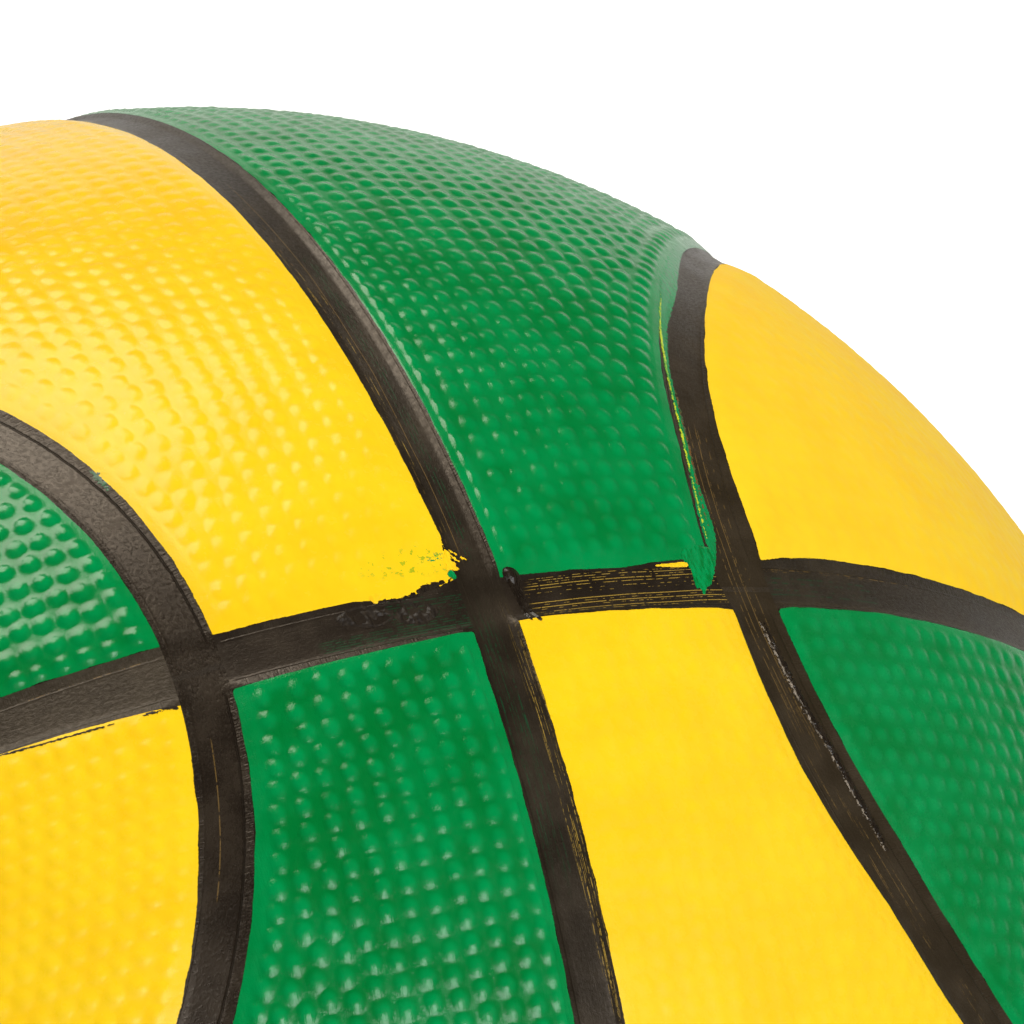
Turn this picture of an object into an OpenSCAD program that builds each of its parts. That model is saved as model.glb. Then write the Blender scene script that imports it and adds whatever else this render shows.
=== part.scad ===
// Eight-panel moulded rubber basketball, built up in layers from the bladder outwards.
// Sizes are in millimetres. The origin is the centre of the ball.
// +Z passes through the crossing of the two straight seams, and +Y leaves through the valve.
// The centre seam lies in the plane x = 0 and the cross seam in the plane y = 0.
// Seen along Z, each curved seam is an arc of a circle that bulges towards the centre seam.

/* [Ball] */
// Diameter over the cover panels
ball_d = 240; // [230:1:250]
// Thickness of the cover panels
cover_t = 1.6; // [1.4:0.1:3]
// Thickness of the carcass rubber under the cover
carcass_t = 0.6; // [0.4:0.1:1.5]
// Thickness of the wound nylon yarn
winding_t = 0.5; // [0.3:0.1:1.5]
// Thickness of the bladder wall
bladder_t = 0.7; // [0.4:0.1:1.5]

/* [Seams] */
// Width of a channel from panel to panel
channel_w = 6.4; // [5.6:0.1:8]
// Width of the flat floor of a channel
channel_floor_w = 3.8; // [2.5:0.1:5]
// Depth of the channel floor below the panels
channel_depth = 0.9; // [0.5:0.1:1.1]
// Distance from the centre seam to a curved seam at the top of the ball
seam_near = 32; // [26:1:40]
// Radius of a curved seam, seen from above
seam_r = 75; // [68:1:82]

/* [Valve] */
// Diameter of the duct that takes the inflating needle
needle_d = 2; // [1.6:0.1:2.2]
// Diameter of the neck that comes up through the wall of the ball
neck_d = 7; // [6:0.1:8]
// Height of the neck's face above the channel floor
neck_rise = 0.3; // [0:0.1:0.6]
// Diameter of the funnel in the neck's face
funnel_d = 3.6; // [3:0.1:4.4]
// Depth of that funnel
funnel_depth = 1.4; // [0.8:0.1:2]
// Diameter of the round pad about the valve
pad_d = 15; // [13:0.5:18]
// Diameter of the flange inside the bladder
flange_d = 26; // [22:1:32]
// Thickness of the flange
flange_t = 1.2; // [0.8:0.1:2]
// Diameter of the patch that bonds the flange to the bladder
patch_d = 40; // [34:1:50]
// Thickness of the patch
patch_t = 0.5; // [0.3:0.1:1]
// Diameter of the barrel that holds the plug
barrel_d = 10; // [9:0.1:12]
// Diameter of the soft plug
plug_d = 5; // [4.6:0.1:5.4]
// Length of the plug
plug_l = 11; // [9:0.5:14]
// How far the plug's bead stands out, which locks it in the barrel
bead_rise = 0.6; // [0.3:0.1:0.8]
// Thickness of the barrel's closed end
barrel_end_t = 2; // [1:0.1:3]

/* [Hidden] */
// Cement line between one layer and the next
bond_gap = 0.15;
// Gap between a channel strip and what lies beside it
seam_gap = 0.15;
// Gap round the neck where it passes through the layers
neck_gap = 0.15;
// Gap round the plug in the barrel
plug_gap = 0.05;
// How much wider the passage is than the needle, on each side
needle_play = 0.3;
// Bevel round the face of the neck
neck_bevel = 0.4;
// Taper of the plug's inner end and of the barrel's
plug_taper = 0.8;
barrel_taper = 1;
// How far above the channel floor the lips are cut where a channel crosses
notch_rise = 0.02;
// Overrun of every cut
cut_over = 2;

// Stations along each half of a curved channel strip
CURVE_STEPS = 72;
// Where the plug's bead starts, widens and ends, as shares of its length from the top
BEAD_SHARES = [0.3, 0.38, 0.5, 0.58];
// Where the plug and the barrel begin to taper, as shares of their lengths from the top
PLUG_TAPER_SHARE = 0.85;
BARREL_TAPER_SHARE = 0.8;

$fn = 180;

// Radii of the layers, from the outside in
cover_r = ball_d / 2;
cover_in_r = cover_r - cover_t;
carcass_r = cover_in_r - bond_gap;
carcass_in_r = carcass_r - carcass_t;
winding_r = carcass_in_r - bond_gap;
winding_in_r = winding_r - winding_t;
bladder_r = winding_in_r - bond_gap;
bladder_in_r = bladder_r - bladder_t;
patch_r = bladder_in_r - bond_gap;
patch_in_r = patch_r - patch_t;
flange_r = patch_in_r - bond_gap;
flange_in_r = flange_r - flange_t;

// Channels
floor_r = cover_r - channel_depth;
half_w = channel_w / 2;
half_floor = channel_floor_w / 2;
// Half the space that a strip takes between two panels
half_slot = half_w + seam_gap;
// Width that a channel gains for each millimetre above its floor, on each side
channel_slope = (half_w - half_floor) / channel_depth;
// Centre of a curved seam's arc
seam_x = seam_near + seam_r;

// Valve, with heights measured out from the centre of the ball
passage_d = needle_d + 2 * needle_play;
neck_top = floor_r + neck_rise;
plug_top = flange_in_r;
plug_bottom = plug_top - plug_l;
barrel_bottom = plug_bottom - barrel_end_t;
neck_hole_d = neck_d + 2 * neck_gap;
pad_slot_d = pad_d + 2 * seam_gap;

GREEN = [0.02, 0.5, 0.27];
YELLOW = [1, 0.82, 0.12];
BLACK = [0.17, 0.16, 0.14];
CARCASS_GREY = [0.25, 0.25, 0.26];
YARN = [0.92, 0.9, 0.84];
BUTYL = [0.1, 0.1, 0.11];
PATCH_RED = [0.5, 0.18, 0.12];
PLUG_BUFF = [0.75, 0.66, 0.5];

// Layers

module shell(outer_r, inner_r) {
    difference() {
        sphere(r = outer_r);
        sphere(r = inner_r);
    }
}

// Turns Z, the axis that solids are drawn on, to the valve's axis
module on_valve_axis() {
    rotate([-90, 0, 0]) children();
}

module valve_hole(d) {
    on_valve_axis() cylinder(d = d, h = cover_r + cut_over);
}

module wall_layer(outer_r, inner_r) {
    difference() {
        shell(outer_r, inner_r);
        valve_hole(neck_hole_d);
    }
}

// A disc of the wall about the valve's axis
module wall_disc(outer_r, inner_r, d) {
    intersection() {
        shell(outer_r, inner_r);
        valve_hole(d);
    }
}

module bladder() {
    color(BUTYL) wall_layer(bladder_r, bladder_in_r);
}

module winding() {
    color(YARN) wall_layer(winding_r, winding_in_r);
}

module carcass() {
    color(CARCASS_GREY) wall_layer(carcass_r, carcass_in_r);
}

// Channels

// Ring of channel strip about the Z axis, with sloping sides and lips level with the panels
module channel_ring() {
    under_r = sqrt(pow(cover_in_r, 2) - pow(half_w, 2));
    lip_edge_r = sqrt(pow(cover_r, 2) - pow(half_w, 2));
    rotate_extrude() polygon([
        [under_r, -half_w],
        [lip_edge_r, -half_w],
        [floor_r, -half_floor],
        [floor_r, half_floor],
        [lip_edge_r, half_w],
        [under_r, half_w]
    ]);
}

// Cuts a strip's lips where a channel along X crosses it, above the height given
module crossing_notch(height) {
    foot = half_floor;
    rise = cover_r + cut_over - height;
    top = foot + channel_slope * rise;
    rotate([90, 0, 90]) linear_extrude(height = 2 * channel_w, center = true) polygon([
        [-foot, height],
        [foot, height],
        [top, height + rise],
        [-top, height + rise]
    ]);
}

module centre_channel_ring() {
    notch_z = floor_r + notch_rise;
    color(BLACK) difference() {
        rotate([0, 90, 0]) channel_ring();
        crossing_notch(notch_z);
        mirror([0, 0, 1]) crossing_notch(notch_z);
        valve_hole(pad_slot_d);
    }
}

module cross_ring() {
    rotate([90, 0, 0]) channel_ring();
}

// The upright cylinder whose cut through the ball is a curved seam, at x on the side given
module seam_cylinder(side, r) {
    translate([side * seam_x, 0, -cover_r - cut_over])
        cylinder(r = r, h = 2 * (cover_r + cut_over));
}

// A box that holds one quarter of the ball along Z, clear of both straight channels
module quarter(side_x, side_y) {
    reach = cover_r + cut_over;
    translate([
        side_x > 0 ? half_slot : -half_slot - reach,
        side_y > 0 ? half_slot : -half_slot - reach,
        -reach
    ])
        cube([reach, reach, 2 * reach]);
}

// The part of the cross strip between the centre seam and a curved seam
module cross_channel_short(side_x, side_z) {
    reach = cover_r + cut_over;
    color(BLACK) difference() {
        intersection() {
            cross_ring();
            translate([
                side_x > 0 ? half_slot : -half_slot - reach,
                -reach,
                side_z > 0 ? 0 : -reach
            ])
                cube([reach, 2 * reach, reach]);
        }
        seam_cylinder(side_x, seam_r + half_slot);
    }
}

module cross_channel_top_left() {
    cross_channel_short(-1, 1);
}

module cross_channel_top_right() {
    cross_channel_short(1, 1);
}

module cross_channel_bottom_left() {
    cross_channel_short(-1, -1);
}

module cross_channel_bottom_right() {
    cross_channel_short(1, -1);
}

// The part of the cross strip that runs over one end of the ball
module cross_channel_end(side_x) {
    color(BLACK) intersection() {
        cross_ring();
        seam_cylinder(side_x, seam_r - half_slot);
    }
}

module cross_channel_left_end() {
    cross_channel_end(-1);
}

module cross_channel_right_end() {
    cross_channel_end(1);
}

// Curved channel strips, swept along the seam.
// A point lies on the sphere of radius r and on the upright cylinder of radius seam_r + off,
// in the plane through the X axis that is turned by angle from +Z towards +Y.
function curve_x(angle, r, off) =
    let (k = pow(seam_x, 2) + pow(r * sin(angle), 2) - pow(seam_r + off, 2))
    k / (seam_x + sqrt(pow(seam_x, 2) - pow(cos(angle), 2) * k));

function curve_point(angle, r, off) =
    let (x = curve_x(angle, r, off), reach = sqrt(pow(r, 2) - pow(x, 2)))
    [x, reach * sin(angle), reach * cos(angle)];

// The strip's lips stop where the cross channel runs through, so their height falls to the floor there
function lip_share(angle) =
    let (y = abs(curve_point(angle, cover_r, 0)[1]))
    max(0, min(1, (y - half_floor) / (half_w - half_floor)));

function lip_r(angle) = floor_r + channel_depth * lip_share(angle);

// The section of the strip at one station: its underside, then lip, floor and lip
function curve_section(angle) = [
    curve_point(angle, cover_in_r, -half_w),
    curve_point(angle, cover_in_r, half_w),
    curve_point(angle, lip_r(angle), half_w),
    curve_point(angle, floor_r, half_floor),
    curve_point(angle, floor_r, -half_floor),
    curve_point(angle, lip_r(angle), -half_w)
];

// Angles of the stations: closer where the lips rise beside the cross channel
crossing_reach = sqrt(pow(cover_r, 2) - pow(seam_near, 2));
lip_start = asin(half_floor / crossing_reach);
lip_end = asin(half_w / crossing_reach);
half_angles = concat(
    [lip_start],
    [for (i = [0:CURVE_STEPS]) lip_end + (180 - 2 * lip_end) * i / CURVE_STEPS],
    [180 - lip_start]
);
curve_angles = concat(half_angles, [for (a = half_angles) 180 + a]);

module curved_channel() {
    sections = [for (a = curve_angles) curve_section(a)];
    stations = len(sections);
    sides = len(sections[0]);
    points = [for (s = sections) for (p = s) p];
    faces = [
        for (i = [0:stations - 1]) for (j = [0:sides - 1])
            let (
                next_i = (i + 1) % stations,
                next_j = (j + 1) % sides,
                a = i * sides + j,
                b = i * sides + next_j,
                c = next_i * sides + next_j,
                d = next_i * sides + j
            )
            each [[a, b, c], [a, c, d]]
    ];
    polyhedron(points = points, faces = faces);
}

module curved_channel_right() {
    color(BLACK) curved_channel();
}

module curved_channel_left() {
    color(BLACK) mirror([1, 0, 0]) curved_channel();
}

// Panels. A long panel lies between the centre seam and a curved seam,
// and an end panel inside a curved seam, on one side of the cross seam.

module long_panel(side_x, side_y) {
    difference() {
        intersection() {
            shell(cover_r, cover_in_r);
            quarter(side_x, side_y);
        }
        seam_cylinder(side_x, seam_r + half_slot);
        if (side_y > 0) valve_hole(pad_slot_d);
    }
}

module end_panel(side_x, side_y) {
    intersection() {
        shell(cover_r, cover_in_r);
        quarter(side_x, side_y);
        seam_cylinder(side_x, seam_r - half_slot);
    }
}

module green_panel_front_left() {
    color(GREEN) long_panel(-1, -1);
}

module yellow_panel_front_right() {
    color(YELLOW) long_panel(1, -1);
}

module yellow_panel_rear_left() {
    color(YELLOW) long_panel(-1, 1);
}

module green_panel_rear_right() {
    color(GREEN) long_panel(1, 1);
}

module yellow_end_panel_front_left() {
    color(YELLOW) end_panel(-1, -1);
}

module green_end_panel_front_right() {
    color(GREEN) end_panel(1, -1);
}

module green_end_panel_rear_left() {
    color(GREEN) end_panel(-1, 1);
}

module yellow_end_panel_rear_right() {
    color(YELLOW) end_panel(1, 1);
}

// Valve

// The dish in the pad, whose side slopes as a channel's does
module dish_space() {
    floor_d = pad_d - (channel_w - channel_floor_w);
    top_d = floor_d + 2 * channel_slope * (channel_depth + cut_over);
    on_valve_axis() {
        translate([0, 0, floor_r - cut_over]) cylinder(d = floor_d, h = cut_over);
        translate([0, 0, floor_r]) cylinder(d1 = floor_d, d2 = top_d, h = channel_depth + cut_over);
    }
}

// The centre channel's space where it runs through the pad
module pad_channel_space() {
    top_half = half_floor + channel_slope * (channel_depth + cut_over);
    linear_extrude(height = 2 * pad_d, center = true) polygon([
        [-half_floor, floor_r - cut_over],
        [half_floor, floor_r - cut_over],
        [half_floor, floor_r],
        [top_half, cover_r + cut_over],
        [-top_half, cover_r + cut_over],
        [-half_floor, floor_r]
    ]);
}

module valve_pad() {
    color(BLACK) difference() {
        wall_disc(cover_r, cover_in_r, pad_d);
        difference() {
            union() {
                dish_space();
                pad_channel_space();
            }
            sphere(r = floor_r);
        }
        valve_hole(neck_hole_d);
    }
}

module valve_patch() {
    color(PATCH_RED) difference() {
        wall_disc(patch_r, patch_in_r, patch_d);
        valve_hole(neck_hole_d);
    }
}

// Outline of the plug from its top face down, grown by g on every side
function plug_outline(g) =
    let (r = plug_d / 2 + g, h = plug_top)
    [
        [r, h + g],
        [r, h - plug_l * BEAD_SHARES[0]],
        [r + bead_rise, h - plug_l * BEAD_SHARES[1]],
        [r + bead_rise, h - plug_l * BEAD_SHARES[2]],
        [r, h - plug_l * BEAD_SHARES[3]],
        [r, h - plug_l * PLUG_TAPER_SHARE],
        [r - plug_taper, plug_bottom - g]
    ];

// The soft plug, with the duct that closes on the needle
module valve_plug() {
    duct_r = needle_d / 2;
    color(PLUG_BUFF) on_valve_axis() rotate_extrude() polygon(concat(
        [[duct_r, plug_top]],
        plug_outline(0),
        [[duct_r, plug_bottom]]
    ));
}

// Neck and barrel as one turned solid, from the face in the channel down to the barrel's end
module valve_stem() {
    neck_r = neck_d / 2;
    barrel_r = barrel_d / 2;
    inner_r = flange_in_r + flange_t / 2;
    taper_h = inner_r - (inner_r - barrel_bottom) * BARREL_TAPER_SHARE;
    on_valve_axis() rotate_extrude() polygon([
        [0, neck_top],
        [neck_r - neck_bevel, neck_top],
        [neck_r, neck_top - neck_bevel],
        [neck_r, inner_r],
        [barrel_r, inner_r],
        [barrel_r, taper_h],
        [barrel_r - barrel_taper, barrel_bottom],
        [0, barrel_bottom]
    ]);
}

module valve_body() {
    passage_l = neck_top - barrel_bottom + 2 * cut_over;
    color(BUTYL) difference() {
        union() {
            valve_stem();
            wall_disc(flange_r, flange_in_r, flange_d);
        }
        on_valve_axis() {
            rotate_extrude() polygon(concat(
                [[0, plug_top + plug_gap]],
                plug_outline(plug_gap),
                [[0, plug_bottom - plug_gap]]
            ));
            translate([0, 0, barrel_bottom - cut_over]) cylinder(d = passage_d, h = passage_l);
            translate([0, 0, neck_top - funnel_depth])
                cylinder(d1 = passage_d, d2 = funnel_d, h = funnel_depth);
        }
    }
}

bladder();
winding();
carcass();
valve_patch();
valve_body();
valve_plug();
valve_pad();
centre_channel_ring();
curved_channel_left();
curved_channel_right();
cross_channel_top_left();
cross_channel_top_right();
cross_channel_bottom_left();
cross_channel_bottom_right();
cross_channel_left_end();
cross_channel_right_end();
green_panel_front_left();
yellow_panel_front_right();
yellow_panel_rear_left();
green_panel_rear_right();
yellow_end_panel_front_left();
green_end_panel_front_right();
green_end_panel_rear_left();
yellow_end_panel_rear_right();
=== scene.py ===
import math

import bmesh
import bpy
import numpy as np
from mathutils import Matrix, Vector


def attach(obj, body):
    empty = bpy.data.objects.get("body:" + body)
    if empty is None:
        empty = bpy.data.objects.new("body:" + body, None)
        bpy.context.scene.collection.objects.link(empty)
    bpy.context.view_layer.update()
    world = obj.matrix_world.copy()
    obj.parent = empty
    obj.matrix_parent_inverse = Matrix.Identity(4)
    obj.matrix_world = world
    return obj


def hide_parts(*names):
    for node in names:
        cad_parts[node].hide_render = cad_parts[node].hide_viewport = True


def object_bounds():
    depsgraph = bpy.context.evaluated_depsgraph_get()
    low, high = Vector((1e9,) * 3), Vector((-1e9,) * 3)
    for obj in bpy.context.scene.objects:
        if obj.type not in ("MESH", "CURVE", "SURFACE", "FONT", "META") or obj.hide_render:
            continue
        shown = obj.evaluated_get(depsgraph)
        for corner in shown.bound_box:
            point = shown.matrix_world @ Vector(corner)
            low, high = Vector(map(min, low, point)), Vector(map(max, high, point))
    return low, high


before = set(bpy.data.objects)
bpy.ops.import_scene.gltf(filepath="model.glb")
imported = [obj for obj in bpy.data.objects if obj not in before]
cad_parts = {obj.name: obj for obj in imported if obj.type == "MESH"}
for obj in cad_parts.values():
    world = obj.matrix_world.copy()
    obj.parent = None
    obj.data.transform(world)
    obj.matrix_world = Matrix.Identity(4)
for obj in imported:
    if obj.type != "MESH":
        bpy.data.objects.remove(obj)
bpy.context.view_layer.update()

MM = 0.001

# Sizes of the ball, in millimetres, as in the solids
BALL_R = 120.0
COVER_IN_R = 118.4
HALF_CHANNEL = 3.2
SEAM_NEAR = 32.0
SEAM_R = 75.0
SEAM_X = SEAM_NEAR + SEAM_R
PAD_R = 7.5
NECK_R = 3.5

# Shape of the moulded surface, in millimetres. A bend of a channel's side is its distance from the
# seam, its change of slope and its softness. The paint is folded where the floor meets the side.
FLOOR_DROP = 0.76
PLAIN_BENDS = ((2.3, 0.2, 0.12), (3.2, 0.02, 0.15), (5.4, -0.22, 0.5))
LATE_BENDS = ((0.7, 0.08, 0.5), (2.2, 0.5, 0.1), (3.3, -0.5, 0.06), (4.6, -0.08, 0.3))
JOINING_POWER = 8
FOLD = 2.35
LEFT_FOLD = 1.95

# Spacing of the pebbles, and the plain margins between them and the channels, in millimetres
PEBBLE_PITCH = 2.6
PEBBLE_ROW_PITCH = 2.72
PEBBLE_COLUMN_PITCH = 2.56
PEBBLE_JITTER = 0.11
PEBBLE_MARGIN = 2.25
NEAR_MARGIN = 1.0
END_MARGIN = 1.6
END_CURVE_MARGIN = 1.1

# The level of the ground between the pebbles, and the height and size of a panel's slow swell
PEBBLE_BASE = -0.1
SWELL = 0.02
SWELL_SIZE = 9

# Colours of the paints. A pair is the plain tone and the deeper one, which the panels also use as
# painted shade between the pebbles, or the fresh and the worn black.
GREEN = (0.0005, 0.285, 0.072, 1)
GREENS = (GREEN, (0.0006, 0.175, 0.03, 1))
YELLOWS = ((1.0, 0.65, 0.013, 1), (0.99, 0.56, 0.008, 1))
BLACK = (0.015, 0.0105, 0.007, 1)
BLACKS = (BLACK, (0.029, 0.021, 0.0135, 1))
BROWN_BLACKS = ((0.027, 0.019, 0.0098, 1), (0.043, 0.031, 0.0175, 1))
WARM_BLACKS = ((0.017, 0.0125, 0.0078, 1), (0.034, 0.0255, 0.016, 1))
DUSTY_BLACKS = ((0.024, 0.018, 0.011, 1), (0.042, 0.032, 0.02, 1))
# The painted shade laid along the channels' creases
CREASE_SHADE = (0.006, 0.004, 0.0025, 1)
WARM_SHINE = (1.0, 0.86, 0.72, 1)
TAN = (0.36, 0.23, 0.035, 1)
TAN_DIM = (0.15, 0.09, 0.026, 1)
DARK_GREEN = (0.006, 0.055, 0.02, 1)
RUST = (0.16, 0.075, 0.02, 1)

# The camera: its axes and place come from a fit to the ball's outline and seams
CAMERA_RIGHT = (0.901477, -0.321153, 0.290174)
CAMERA_BACK = (-0.412500, -0.434426, 0.800699)
CAMERA_PLACE = (-0.310961, -0.324029, 0.736218)
CAMERA_LENS = 255.4615
SENSOR_WIDTH = 36


def camera_axes():
    """Unit vectors to the camera's right, up and back, square to each other, as columns."""
    right = np.array(CAMERA_RIGHT) / np.linalg.norm(CAMERA_RIGHT)
    back = np.array(CAMERA_BACK) - right * np.dot(CAMERA_BACK, right)
    back /= np.linalg.norm(back)
    return np.stack([right, np.cross(back, right), back], axis=1)


def placed(axes, place):
    """A matrix with those axes as columns and that place."""
    matrix = np.eye(4)
    matrix[:3, :3], matrix[:3, 3] = axes, place
    return Matrix(matrix.tolist())


AXES = camera_axes()
camera_data = bpy.data.cameras.new("photo_camera")
camera_data.sensor_width = SENSOR_WIDTH
camera_data.lens = CAMERA_LENS
camera = bpy.data.objects.new("photo_camera", camera_data)
camera.matrix_world = placed(AXES, CAMERA_PLACE)
bpy.context.scene.collection.objects.link(camera)
bpy.context.scene.camera = camera


# The shape of the surface

# The sine waves in a smooth noise, and their lengths as shares of its size
WAVE_COUNT = 24
WAVE_SPREAD = (0.7, 1.6)


def smooth(value, low, high):
    """Rises from 0 at low to 1 at high, along a cubic that starts and ends level."""
    s = np.clip((value - low) / (high - low), 0, 1)
    return s * s * (3 - 2 * s)


def waves(points, size, seed):
    """Smooth noise: a sum of sine waves of about one wavelength, in directions drawn at random.

    It is divided by the root of half their count, so that its spread is about 1.
    """
    draw = np.random.default_rng(seed)
    turn = draw.normal(size=(WAVE_COUNT, 3))
    turn /= np.linalg.norm(turn, axis=1)[:, None]
    length = 2 * math.pi / (size * draw.uniform(*WAVE_SPREAD, WAVE_COUNT))
    total = np.zeros(points.shape[:-1])
    for way, rate, phase in zip(turn, length, draw.uniform(0, 2 * math.pi, WAVE_COUNT)):
        total += np.sin(points @ way * rate + phase)
    return total * math.sqrt(2 / WAVE_COUNT)


def seam_distances(points):
    """How far points of the ball's surface lie from the centre, cross and curved seams, in mm.

    The first two are planes through the origin, and the third is an upright cylinder.
    """
    x, y = np.abs(points[..., 0]), np.abs(points[..., 1])
    curved = np.abs(np.hypot(x - SEAM_X, y) - SEAM_R)
    return x, y, curved


def edge_distance(points):
    """How far points lie outside the nearest channel or the valve pad, in mm."""
    nearest = np.minimum.reduce(seam_distances(points)) - HALF_CHANNEL
    pad = np.hypot(points[..., 0], points[..., 2]) - PAD_R
    return np.minimum(nearest, np.where(points[..., 1] > 0, pad, BALL_R))


def channel_profile(distance, bends=PLAIN_BENDS):
    """Drop of the surface beside a seam: a flat floor, a side that bends, and a soft crest.

    Each bend adds its change of slope, as a soft ramp that starts at its distance from the seam.
    The sum is scaled so that the floor has the same drop for all bends.
    """
    floor_drop = -sum(change * place for place, change, _ in bends)
    drop = floor_drop
    for place, change, soft in bends:
        drop = drop - change * soft * np.logaddexp(0, (distance - place) / soft)
    return drop * (FLOOR_DROP / floor_drop)


def surface_height(points):
    """Height of the smooth moulding over the ball's sphere, pebbles left out.

    The drops of the channels and the valve pad are joined as the root of the sum of their powers,
    so one runs softly into another.
    """
    x, y, curved = seam_distances(points)
    drops = [np.where(points[..., 0] > 0, channel_profile(x, LATE_BENDS), channel_profile(x)),
             np.where(points[..., 1] < 0, channel_profile(y, LATE_BENDS), channel_profile(y)),
             channel_profile(curved)]
    pad = np.where(points[..., 1] > 0, np.hypot(points[..., 0], points[..., 2]), BALL_R)
    drops.append(channel_profile(pad - PAD_R + HALF_CHANNEL))
    return -(sum(np.abs(d) ** JOINING_POWER for d in drops) ** (1 / JOINING_POWER))


# How far the painted edge of each channel lies from its even place, in mm, as (station, shift)
# pairs. Stations are y for the centre and curved seams and x for the cross seam. The first list
# of each seam is its side of lower x or y, or the side nearer the ball's end.
PAINT_EDGES = {
    "centre": ([(-60, 0), (-44, 0.2), (-20, 0.5), (-8, 0.65), (9, 1.25), (18, 0.95), (34, 0.7),
                (60, 0.6)],
               [(-60, -1), (-44, -0.85), (-20, -0.65), (0, -0.45), (40, -0.52), (66, -0.65),
                (94, -0.85)]),
    "cross": ([(-52, 0.7), (-42, 0.2), (-36, -0.28), (-27, -0.2), (-8, 0.2), (6, 0.78), (14, 0.68),
               (28, 0.15), (38, 0.38), (50, 0.58), (68, 0.4)],
              [(-47, 0.62), (-36, 0.45), (-27, 0.03), (-14, 0.03), (-12, -0.37), (-9.5, -0.65),
               (-8, -0.8), (-7, -0.4), (-5, -0.1), (-3.2, 0.6), (3.5, -0.1), (8, -0.17), (18, -0.45),
               (24, 0.2), (28, 0.2), (36, 0.22), (43, 0.9), (53, 0.72), (68, 0.4)]),
    "left": ([(-36, 1.25), (-22, 0.75), (-10, 0.55), (32, 0.65)],
             [(-34, 0.1), (-22, -0.22), (-10, -0.45), (8, -0.52), (20, -0.37), (36, 0.05)]),
    "right": ([(-46, -0.5), (-30, -0.85), (-16, -0.38), (-4, -0.25), (8, -0.93), (14, -0.55),
               (20, -0.1), (32, 0.45), (44, 0.65), (50, 1.15), (56, 1.8), (64, 2.4)],
              [(-46, -0.57), (-37, -0.82), (-28, -0.05), (-22, 0.25), (-10, -0.28), (-4, -0.72),
               (4, -0.05), (10, -0.45), (19, -0.85), (29, -0.4), (38, -0.2), (46, -0.6), (60, -0.8)]),
}
# The shift fades out this far from a seam, and between these heights down the ball, in mm
EDGE_REACH = 9.0
EDGE_HEIGHTS = (20, 45)


def paint_shift(offset, station, seam):
    """Shift of points at that signed distance from a seam: full at its edges, fading both ways."""
    low, high = (np.interp(station, *zip(*pairs)) for pairs in PAINT_EDGES[seam])
    away = np.abs(offset)
    near = smooth(away, 0, HALF_CHANNEL) * (1 - smooth(away, HALF_CHANNEL, EDGE_REACH))
    return np.where(offset > 0, high, low) * near


def repainted(points):
    """Moves points on the sphere so that even edges come to lie where the paint's edges are."""
    x, y, z = points[..., 0], points[..., 1], points[..., 2]
    side = np.where(x < 0, -1.0, 1.0)
    out_x, out_y = x - side * SEAM_X, y
    reach = np.hypot(out_x, out_y)
    offset = reach - SEAM_R
    curved = np.where(x < 0, paint_shift(offset, y, "left"), paint_shift(offset, y, "right")) / reach
    shown = smooth(z, *EDGE_HEIGHTS)
    shift = np.stack([paint_shift(x, y, "centre") + curved * out_x,
                      paint_shift(y, x, "cross") + curved * out_y, np.zeros(x.shape)], axis=-1)
    moved = points + shift * shown[..., None]
    return moved * (BALL_R / np.linalg.norm(moved, axis=-1))[..., None]


def evened(points):
    """Undoes repainted, by four rounds of taking off what it adds."""
    even = points
    for _ in range(4):
        even = points - (repainted(even) - even)
    return even


# The pebbles

# A pebble pushes its neighbours away up to this many pitches, by this share of the overlap
PUSH_REACH = 1.22
PUSH_SHARE = 0.16
SPREAD_ROUNDS = 14
# Two places nearer than this, in mm, are one pebble
SAME_PEBBLE = 0.01
# Inner pebbles nearer to a border row than this many pitches are left out
TOO_NEAR = 0.72
# Those within this reach of the border row, and this clear of the other margins, give way to it
BORDER_REACH = 6 * PEBBLE_PITCH
LOOSE_CLEARANCE = 0.5
# Points along a seam from which its row is worked out, and the limits of the inner rows
SEAM_SAMPLES = 3000
MOST_ROWS = 60
WIDEST_ROW = 0.8 * BALL_R
JITTER_SEED = 7
# How much single pebbles differ in height and in width
PEBBLE_TALL = (0.86, 1.1)
PEBBLE_WIDE = (0.94, 1.05)
# Points that are matched with pebbles at a time, to save memory
DOME_CHUNK = 16384


def curve_x(turn, offset):
    """x of the curved seam, moved outwards by offset, in the plane through X turned by turn.

    It is the smaller root of the quadratic where the seam's upright cylinder meets the ball, in
    the form that never divides by zero.
    """
    k = SEAM_X ** 2 + (BALL_R * np.sin(turn)) ** 2 - (SEAM_R + offset) ** 2
    return k / (SEAM_X + np.sqrt(SEAM_X ** 2 - np.cos(turn) ** 2 * k))


def on_ball(x, turn):
    """The point with that x on the ball, in the plane through X turned by turn from Z to Y."""
    reach = np.sqrt(BALL_R ** 2 - x ** 2)
    return np.stack([x, reach * np.sin(turn), reach * np.cos(turn)], axis=-1)


def seam_row(offset):
    """Pebbles in an even row along the curved seam, in the quarter where x, y and z are positive."""
    turn = np.linspace(0, math.pi / 2, SEAM_SAMPLES)
    line = on_ball(curve_x(turn, offset), turn)
    steps = np.linalg.norm(np.diff(line, axis=0), axis=1)
    along = np.concatenate([[0], np.cumsum(steps)])
    start = np.interp(HALF_CHANNEL + PEBBLE_MARGIN, line[:, 1], along)
    count = round((along[-1] - start) / PEBBLE_PITCH - 0.5)
    pitch = (along[-1] - start) / (count + 0.5)
    place = start + pitch * np.arange(count + 1)
    return np.stack([np.interp(place, along, line[:, i]) for i in range(3)], axis=-1)


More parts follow.
